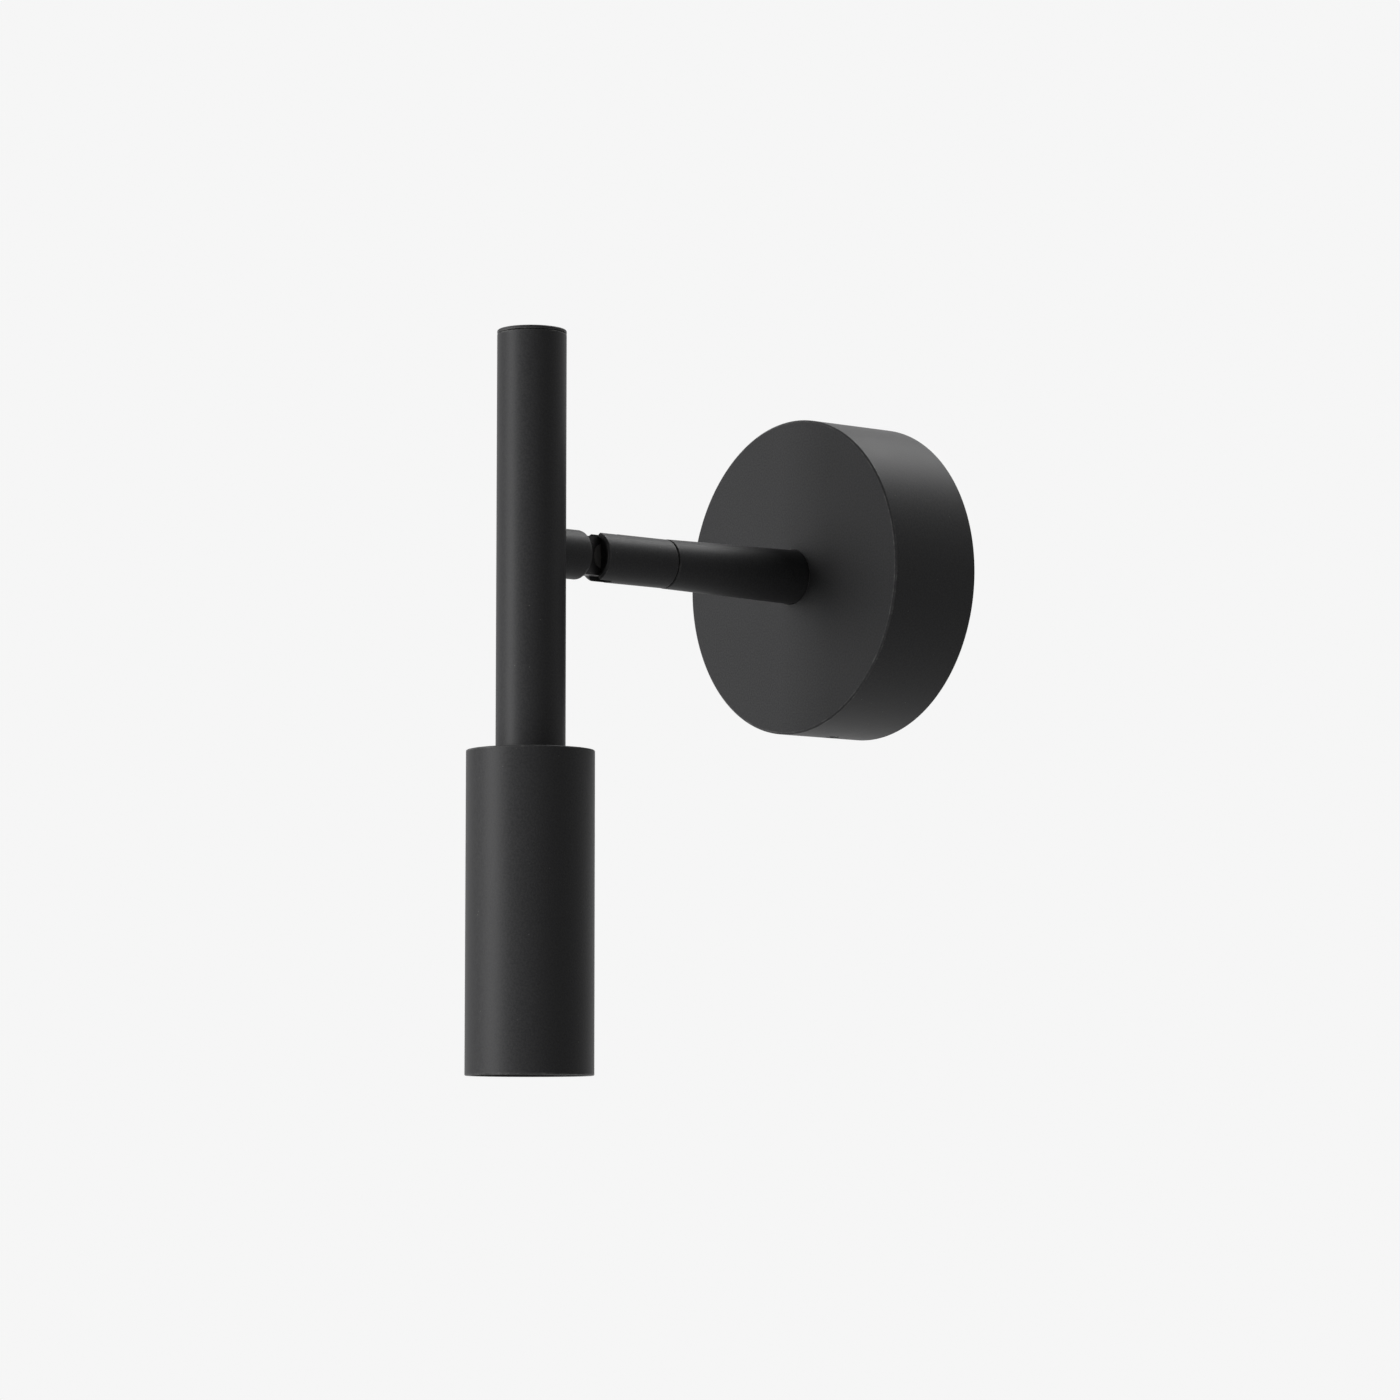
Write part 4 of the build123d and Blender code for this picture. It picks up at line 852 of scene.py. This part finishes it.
barrel_inner[:, 0] = np.where(above_floor, barrel_bore_radius, bearing_radius)
barrel_inner[:, 1] = np.maximum(barrel_outer[:, 1], barrel_back + bearing_break)
slot_angle = math.asin(slot_half_width / barrel_radius)
screw_angle = np.linspace(-2, 2, 17) * set_screw_block / barrel_radius
slot_columns = [-slot_fade_angle, -slot_angle, slot_angle, slot_fade_angle]
narrow = np.unique(np.round(np.concatenate([screw_angle, slot_columns]), 5))
wide = np.linspace(narrow[-1], math.pi - narrow[-1], 30)[1:-1]
barrel_angle = np.concatenate([narrow, wide, math.pi + narrow, math.pi + wide])
angle = np.broadcast_to(barrel_angle, (len(barrel_outer), len(barrel_angle)))
run = np.repeat(barrel_outer[:, 1, None], len(barrel_angle), 1)
near_top = (np.abs(angle) < 1.0) & (np.abs(run - set_screw_out) < 4 * mm)
moved_across, moved_run = pulled_round(
    angle * barrel_radius, run, set_screw_out, set_screw_hole_radius, set_screw_block
)
angle = np.where(near_top, moved_across / barrel_radius, angle)
run = np.where(near_top, moved_run, run)
inner_run = np.maximum(run, barrel_inner[:, 1, None])


def cut_straight(radius):
    """The grid's angles at each row's radius, so that the slots and the hole have parallel sides.

    Near the top and the bottom a point keeps its sideways distance, which is the barrel's radius
    times the sine of its angle: its angle becomes the arcsine of that distance over its own radius.
    Beyond the slots this fades out, and the rows of the floor keep their plain angles.
    """
    sideways = (angle + math.pi / 2) % math.pi - math.pi / 2
    share = np.clip((slot_fade_angle - np.abs(sideways)) / (slot_fade_angle - slot_angle), 0, 1)
    share = share * above_floor[:, None]
    sine = np.clip(barrel_radius * np.sin(sideways) / radius[:, None], -1, 1)
    return angle + share * (np.arcsin(sine) - sideways)


middle_angle = column_middles(barrel_angle)
middle_run = (barrel_outer[:-1, 1] + barrel_outer[1:, 1])[:, None] / 2
off_top = np.abs(middle_angle)
off_bottom = np.abs(middle_angle - math.pi)
on_wall = (barrel_outer[:-1, 1] >= barrel_back + 1 * mm)[:, None]
set_screw_hole = (off_top < set_screw_block / barrel_radius)[None]
set_screw_hole = set_screw_hole & (np.abs(middle_run - set_screw_out) < set_screw_block)
slot_above = (off_top < slot_angle)[None] & (middle_run > slot_above_from)
slot_below = (off_bottom < slot_angle)[None] & (middle_run > slot_below_from)
barrel = shell(
    "barrel_shell",
    about_arm(barrel_outer[:, 0], run, cut_straight(barrel_outer[:, 0])),
    about_arm(barrel_inner[:, 0], inner_run, cut_straight(barrel_inner[:, 0])),
    ~((set_screw_hole | slot_above | slot_below) & on_wall),
    barrel_outer[:, 2],
)
barrel.data.materials.append(black_powder)
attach(barrel, "barrel")
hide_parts("barrel_sleeve")

# ---- Knuckle ----
# A dark steel blade with a round nose turns on a hardened pin inside the barrel. Graphite fibre
# discs press on both its flats, so that the lamp stays at the angle it is set to.

pivot_out = 110.05 * mm


def reach_from(place, centre, across):
    """Distance from a line through a centre; across is 0 along the line and 1 along the others."""
    moved = place.node("VectorMath", {"operation": "SUBTRACT"}, {0: place, 1: centre})
    flat = place.node("VectorMath", {"operation": "MULTIPLY"}, {0: moved, 1: across})
    return place.node("VectorMath", {"operation": "LENGTH"}, {0: flat}, output="Value")


def rubbed_blade(place):
    """Blackened steel with bright rings about the pivot where the friction discs have turned."""
    skin = blackened_steel(place)
    reach = reach_from(place, (0, -pivot_out, 0), (0, 1, 1))
    groove = (reach * (1 / (0.35 * mm))).math("FRACT").between(0.1, 0.5)
    ring = reach.between(4.1 * mm, 3.9 * mm) * groove
    skin["Base Color"] = (ring * 0.7).blend(skin["Base Color"], (0.30, 0.29, 0.28, 1))
    return skin


def pressed_fibre(place):
    """Fibre pressed with graphite: dark strands lying every way, burnished by the blade."""
    strand = grain(place, 0.3 * mm, 5.0, (3, 1, 1))
    burnish = grain(place, 1.6 * mm, 3.0)
    shade = strand * 0.6 + burnish * 0.4
    return {
        "Base Color": shade.blend((0.012, 0.012, 0.012, 1), (0.046, 0.044, 0.041, 1)),
        "Roughness": 0.55 + strand * 0.2,
        "Normal": relief(strand, 0.02 * mm),
    }


dress(finish("blade_steel", {"Metallic": 0.85}, rubbed_blade), "knuckle_tongue")
dress(finish("friction_fibre", {}, pressed_fibre), "friction_discs")

# ---- Stub ----
# A short collar with a well-rounded rim at the knuckle, cut to a saddle that fits round the slim
# tube. The blade's shank passes through it, and a nut inside the tube pulls all three together.

tube_low, tube_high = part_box("slim_tube")
tube_radius = (tube_high.x - tube_low.x) / 2
tube_out = -(tube_high.y + tube_low.y) / 2
stub_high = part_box("stub_collar")[1]
stub_radius = stub_high.x
stub_start = -stub_high.y
stub_rim = 1.4 * mm
rim_wear = 0.4
shank_hole_radius = 4.15 * mm
stub_count = 96

stub_face = rounded(
    [
        (shank_hole_radius, stub_start, 0),
        (stub_radius, stub_start, stub_rim),
        (stub_radius, tube_out, 0),
    ],
    closed=False,
)[:-1]
stub_angle = np.linspace(0, 2 * math.pi, stub_count, endpoint=False)


def saddle(radius, angle):
    """Distance out at which a line along the arm, at a radius and an angle, meets the slim tube."""
    return tube_out - np.sqrt(tube_radius**2 - (radius * np.sin(angle)) ** 2) - 0.02 * mm


straight = stub_start + stub_rim
share = np.linspace(0, 1, 5)[1:, None]
side_rows = straight + share * (saddle(stub_radius, stub_angle) - straight)
bore_rows = stub_start + share * (saddle(shank_hole_radius, stub_angle) - stub_start)
face_run = np.repeat(stub_face[:, 1, None], stub_count, 1)
face_run[-1] = straight + 0.05 * mm
stub_run = np.concatenate([face_run, side_rows])
stub_rows = len(stub_run)
stub_outer_radius = np.concatenate([stub_face[:, 0], np.full(4, stub_radius)])
stub_inner_run = np.concatenate([
    stub_start + np.linspace(0, 0.1 * mm, len(stub_face))[:, None] + np.zeros(stub_count),
    bore_rows,
])
angle = np.broadcast_to(stub_angle, stub_run.shape)
stub = shell(
    "stub_shell",
    about_arm(stub_outer_radius, stub_run, angle),
    about_arm(np.full(stub_rows, shank_hole_radius), stub_inner_run, angle),
    np.ones((stub_rows - 1, stub_count), bool),
    np.concatenate([stub_face[:, 2] * rim_wear, np.zeros(4)]),
)
stub.data.materials.append(black_powder)
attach(stub, "lamp")
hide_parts("stub_collar")
dress(screw_steel, "shank_nut")

# ---- Slim tube ----
# A straight aluminium tube in the same black coat. A flat cap with a thin flange is pushed into its
# top, and an aluminium plug in its bottom carries the hollow stud of the head.

tube_bottom = tube_low.z
cap_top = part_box("tube_cap")[1].z
cap_seat = cap_top - 1.1 * mm
cap_gap = 0.1 * mm
cap_plug_end = cap_seat - 6 * mm
cap_plug_radius = 9.08 * mm
tube_bore_radius = 9.1 * mm
lamp_centre = (0, -tube_out, 0)
lamp_axis = lamp_centre, (0, 0, 1), (0, -1, 0)

tube = turned(
    "slim_tube_shell",
    [
        (tube_bore_radius, tube_bottom, 0.1 * mm),
        (tube_radius, tube_bottom, 0.12 * mm),
        (tube_radius, cap_seat - cap_gap, 0.25 * mm),
        (tube_bore_radius, cap_seat - cap_gap, 0.1 * mm),
    ],
    *lamp_axis,
)
cap = turned(
    "tube_cap_shell",
    [
        (0, cap_plug_end, 0),
        (cap_plug_radius, cap_plug_end, 0.3 * mm),
        (cap_plug_radius, cap_seat, 0.05 * mm),
        (tube_radius, cap_seat, 0.25 * mm),
        (tube_radius, cap_top, 0.4 * mm),
        (0, cap_top, 0),
    ],
    *lamp_axis, closed=False,
)
for piece, node in ((tube, "slim_tube"), (cap, "tube_cap")):
    piece.data.materials.append(black_powder)
    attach(piece, "lamp")
    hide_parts(node)


def lathe_aluminium(place):
    """Bare turned aluminium: even rings round the upright axis under a thin grey oxide."""
    ring = grain(place, 0.16 * mm, 2.0, (0.04, 0.04, 1))
    oxide = grain(place, 6 * mm, 4.0)
    return {
        "Base Color": oxide.blend((0.66, 0.67, 0.68, 1), (0.50, 0.51, 0.53, 1)),
        "Roughness": 0.26 + ring * 0.16 + oxide * 0.10,
        "Normal": relief(ring, 0.006 * mm),
    }


dress(finish("foot_aluminium", {"Metallic": 1.0}, lathe_aluminium), "tube_foot")

# ---- Head shell ----
# A deep cup turned from aluminium bar in the same black coat, flat on top and open below, with both
# rims just broken.

shell_low, shell_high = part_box("head_shell")
head_radius = (shell_high.x - shell_low.x) / 2
head_top = shell_high.z
head_bottom = shell_low.z
head_bore_radius = head_radius - 1.5 * mm
head_ceiling = head_top - 2.5 * mm
stud_hole_radius = 5.15 * mm

head = turned(
    "head_shell_shell",
    [
        (stud_hole_radius, head_top, 0.1 * mm),
        (head_radius, head_top, 0.35 * mm),
        (head_radius, head_bottom, 0.35 * mm),
        (head_bore_radius, head_bottom, 0.2 * mm),
        (head_bore_radius, head_ceiling, 0.3 * mm),
        (stud_hole_radius, head_ceiling, 0.1 * mm),
    ],
    *lamp_axis, count=192,
)
head.data.materials.append(black_powder)
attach(head, "lamp")
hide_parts("head_shell")

# ---- Heat sink and light source ----
# A finned sink of turned aluminium fills the head's upper half. A round board with one wide emitter
# lies against it under a white holder that two screws press home.


def light_board(place):
    """White solder mask on an aluminium board, with two bare pads beside the emitter."""
    skin = grain(place, 0.5 * mm, 2.0)
    pad = place.part(0).math("ABSOLUTE").between(8.8 * mm, 9.0 * mm)
    return {
        "Base Color": pad.blend((0.80, 0.80, 0.77, 1), (0.66, 0.60, 0.44, 1)),
        "Roughness": 0.30 + skin * 0.14,
        "Normal": relief(skin, 0.004 * mm),
    }


def glowing_gel(place):
    """Yellow phosphor gel inside a white dam, pebbled by the chips that lie under it."""
    dam = reach_from(place, lamp_centre, (1, 1, 0)).between(3.8 * mm, 3.95 * mm)
    chip = cells(place, 0.9 * mm)
    gel = chip.blend((0.82, 0.58, 0.05, 1), (0.70, 0.46, 0.03, 1))
    return {
        "Base Color": dam.blend(gel, (0.84, 0.84, 0.80, 1)),
        "Roughness": 0.22 + chip * 0.12,
        "Normal": relief(chip, 0.03 * mm),
    }


phosphor = finish("phosphor", {"Coat Roughness": 0.1}, glowing_gel)
holder_skin = moulded_plastic((0.84, 0.84, 0.82), (0.72, 0.72, 0.70), 0.1)
dress(finish("sink_aluminium", {"Metallic": 1.0}, lathe_aluminium), "heat_sink")
dress(finish("board_white", {}, light_board), "led_board")
dress(phosphor, "led_emitter")
dress(finish("holder_plastic", {}, holder_skin), "led_holder")
dress(screw_steel, "led_holder_screws")

# ---- Reflector ----
# A thin spun bowl, bright inside, pressed into rows of small flat facets that smooth the beam. Its
# flange rests on the lens.

bowl_low, bowl_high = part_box("reflector")
bowl_top = bowl_high.z
bowl_bottom = bowl_low.z
bowl_flange = 1.2 * mm
throat_radius = 6.2 * mm
mouth_radius = 16.0 * mm
flange_radius = (bowl_high.x - bowl_low.x) / 2
facet_columns = 36
facet_rows = 10
points_per_facet = 6
facet_depth = 0.16 * mm
bowl_thickness = 0.9 * mm

bowl_count = facet_columns * points_per_facet
fall = np.linspace(0, 1, facet_rows * points_per_facet + 1)
bowl_angle = np.linspace(0, 2 * math.pi, bowl_count, endpoint=False)
across_facet = np.abs(((bowl_angle * facet_columns / (2 * math.pi)) % 1) - 0.5) * 2
down_facet = np.abs(((fall * facet_rows) % 1) - 0.5) * 2
smooth_radius = np.sqrt(throat_radius**2 + fall * (mouth_radius**2 - throat_radius**2))
dish = facet_depth * (1 - 0.5 * (across_facet[None] ** 2 + down_facet[:, None] ** 2))
fading = np.clip(np.minimum(fall, 1 - fall) * 20, 0, 1)[:, None]
bowl_radius = smooth_radius[:, None] - dish * fading * (smooth_radius[:, None] / mouth_radius)
bowl_run = bowl_top - fall * (bowl_top - bowl_bottom - bowl_flange)
rim_radius = np.array([mouth_radius, flange_radius, flange_radius])
rim_run = np.array([bowl_bottom, bowl_bottom, bowl_bottom + bowl_flange])
back_radius = smooth_radius[::-1] + bowl_thickness
back_run = np.maximum(bowl_run[::-1], bowl_bottom + bowl_flange)
plain_radius = np.concatenate([rim_radius, back_radius])[:, None]
all_radius = np.concatenate([bowl_radius, np.repeat(plain_radius, bowl_count, 1)])
all_run = np.repeat(np.concatenate([bowl_run, rim_run, back_run])[:, None], bowl_count, 1)
angle = np.broadcast_to(bowl_angle, all_radius.shape)
bowl_points = around(*lamp_axis, all_radius, all_run, angle).reshape(-1, 3)
index = np.arange(len(bowl_points)).reshape(all_radius.shape)
below = np.roll(index, -1, 0)
beside_index, beside_below = np.roll(index, -1, 1), np.roll(below, -1, 1)
bowl_quads = np.stack([index, beside_index, beside_below, below], -1).reshape(-1, 4)
bowl_quads, = outward(bowl_points, bowl_quads)
bowl = new_piece("reflector_bowl", bowl_points, bowl_quads, np.zeros(len(bowl_points)), sharp=50.0)


def bright_vapour(place):
    """Aluminium laid down as vapour on a lacquered bowl, with a faint haze and pinholes."""
    haze = grain(place, 4 * mm, 3.0)
    pinhole = cells(place, 1.1 * mm).between(0.07, 0.04)
    shade = haze * 0.5 + pinhole * 0.5
    return {
        "Base Color": shade.blend((0.88, 0.88, 0.89, 1), (0.70, 0.70, 0.71, 1)),
        "Roughness": 0.07 + haze * 0.08,
        "Normal": relief(haze, 0.01 * mm),
    }


reflector_metal = finish("reflector_metal", {"Metallic": 1.0}, bright_vapour)
bowl.data.materials.append(reflector_metal)
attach(bowl, "lamp")
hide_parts("reflector")

# ---- Lens and gasket ----
# A round acrylic lens with a field of tiny lenslets on its lower face, over a rubber ring that the
# baffle presses up.

lens_low, lens_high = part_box("front_lens")
lens_radius = (lens_high.x - lens_low.x) / 2
lens = turned(
    "front_lens_disc",
    [
        (0, lens_low.z, 0),
        (lens_radius, lens_low.z, 0.3 * mm),
        (lens_radius, lens_high.z, 0.3 * mm),
        (0, lens_high.z, 0),
    ],
    *lamp_axis, closed=False,
)


def lenslets(place):
    """Clear acrylic, domed in close-packed lenslets less than a millimetre wide."""
    flat = place.node("VectorMath", {"operation": "MULTIPLY"}, {0: place, 1: (1, 1, 0)})
    dome = flat.node(
        "TexVoronoi",
        {"voronoi_dimensions": "2D"},
        {"Vector": flat, "Scale": 1 / (0.9 * mm), "Randomness": 0.25},
    )
    smear = grain(place, 7 * mm, 4.0)
    return {
        "Base Color": smear.blend((0.94, 0.95, 0.95, 1), (0.88, 0.90, 0.90, 1)),
        "Roughness": 0.10 + smear * 0.12,
        "Normal": relief(1 - dome, 0.10 * mm),
    }


lens_glass = finish("lens_glass", {"Transmission Weight": 1.0, "IOR": 1.49}, lenslets)
lens.data.materials.append(lens_glass)
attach(lens, "lamp")
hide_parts("front_lens")
dress(finish("seal_rubber", {"Specular IOR Level": 0.35}, soft_rubber), "lens_gasket")

# ---- Glare baffle ----
# A stepped ring of black anodised aluminium pushed up into the head's mouth. Its steps catch stray
# light, so that the lens looks dark from the side.

baffle_low, baffle_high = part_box("glare_baffle")
baffle_top = baffle_high.z
baffle_bottom = baffle_low.z
baffle_radius = (baffle_high.x - baffle_low.x) / 2
baffle_throat = 14.0 * mm
baffle_mouth = baffle_radius - 1.1 * mm
baffle_steps = 7

step_fall = (baffle_top - baffle_bottom) / baffle_steps
step_growth = (baffle_mouth - baffle_throat) / baffle_steps
step_corners = [(baffle_radius, baffle_top, 0.1 * mm), (baffle_throat, baffle_top, 0.08 * mm)]
for step in range(1, baffle_steps):
    step_height = baffle_top - step * step_fall
    step_radius = baffle_throat + step * step_growth
    step_corners.append((step_radius, step_height + step_fall - step_growth, 0.05 * mm))
    step_corners.append((step_radius, step_height, 0.05 * mm))
step_corners.append((baffle_mouth, baffle_bottom + step_fall - step_growth, 0.05 * mm))
step_corners.append((baffle_mouth, baffle_bottom, 0.1 * mm))
step_corners.append((baffle_radius, baffle_bottom, 0.1 * mm))
baffle = turned("glare_baffle_ring", step_corners, *lamp_axis)


def black_anodised(place):
    """Black anodising: deep and dry, with fine turning rings and a bluish bloom."""
    ring = grain(place, 0.12 * mm, 2.0, (0.05, 0.05, 1))
    bloom = grain(place, 5 * mm, 3.0)
    edge = place.node("Attribute", {"attribute_name": "edge"}, output="Fac")
    base = (ring * 0.4 + bloom * 0.6).blend((0.008, 0.008, 0.009, 1), (0.020, 0.020, 0.023, 1))
    return {
        "Base Color": (edge * 0.5).blend(base, (0.05, 0.05, 0.052, 1)),
        "Roughness": 0.42 + bloom * 0.12,
        "Normal": relief(ring, 0.008 * mm),
    }


baffle_black = finish("baffle_black", {"Metallic": 0.3}, black_anodised)
baffle.data.materials.append(baffle_black)
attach(baffle, "lamp")
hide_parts("glare_baffle")

# ---- Lamp wires ----
# Two thin cores, red and black, from the knuckle through the shank and down the slim tube to the
# light source.

dress(
    finish("wire_red", {}, wire_sleeve((0.36, 0.016, 0.012), (0.48, 0.035, 0.028))),
    "lamp_wire_upper",
)
dress(
    finish("wire_black", {}, wire_sleeve((0.018, 0.018, 0.018), (0.038, 0.038, 0.038))),
    "lamp_wire_lower",
)
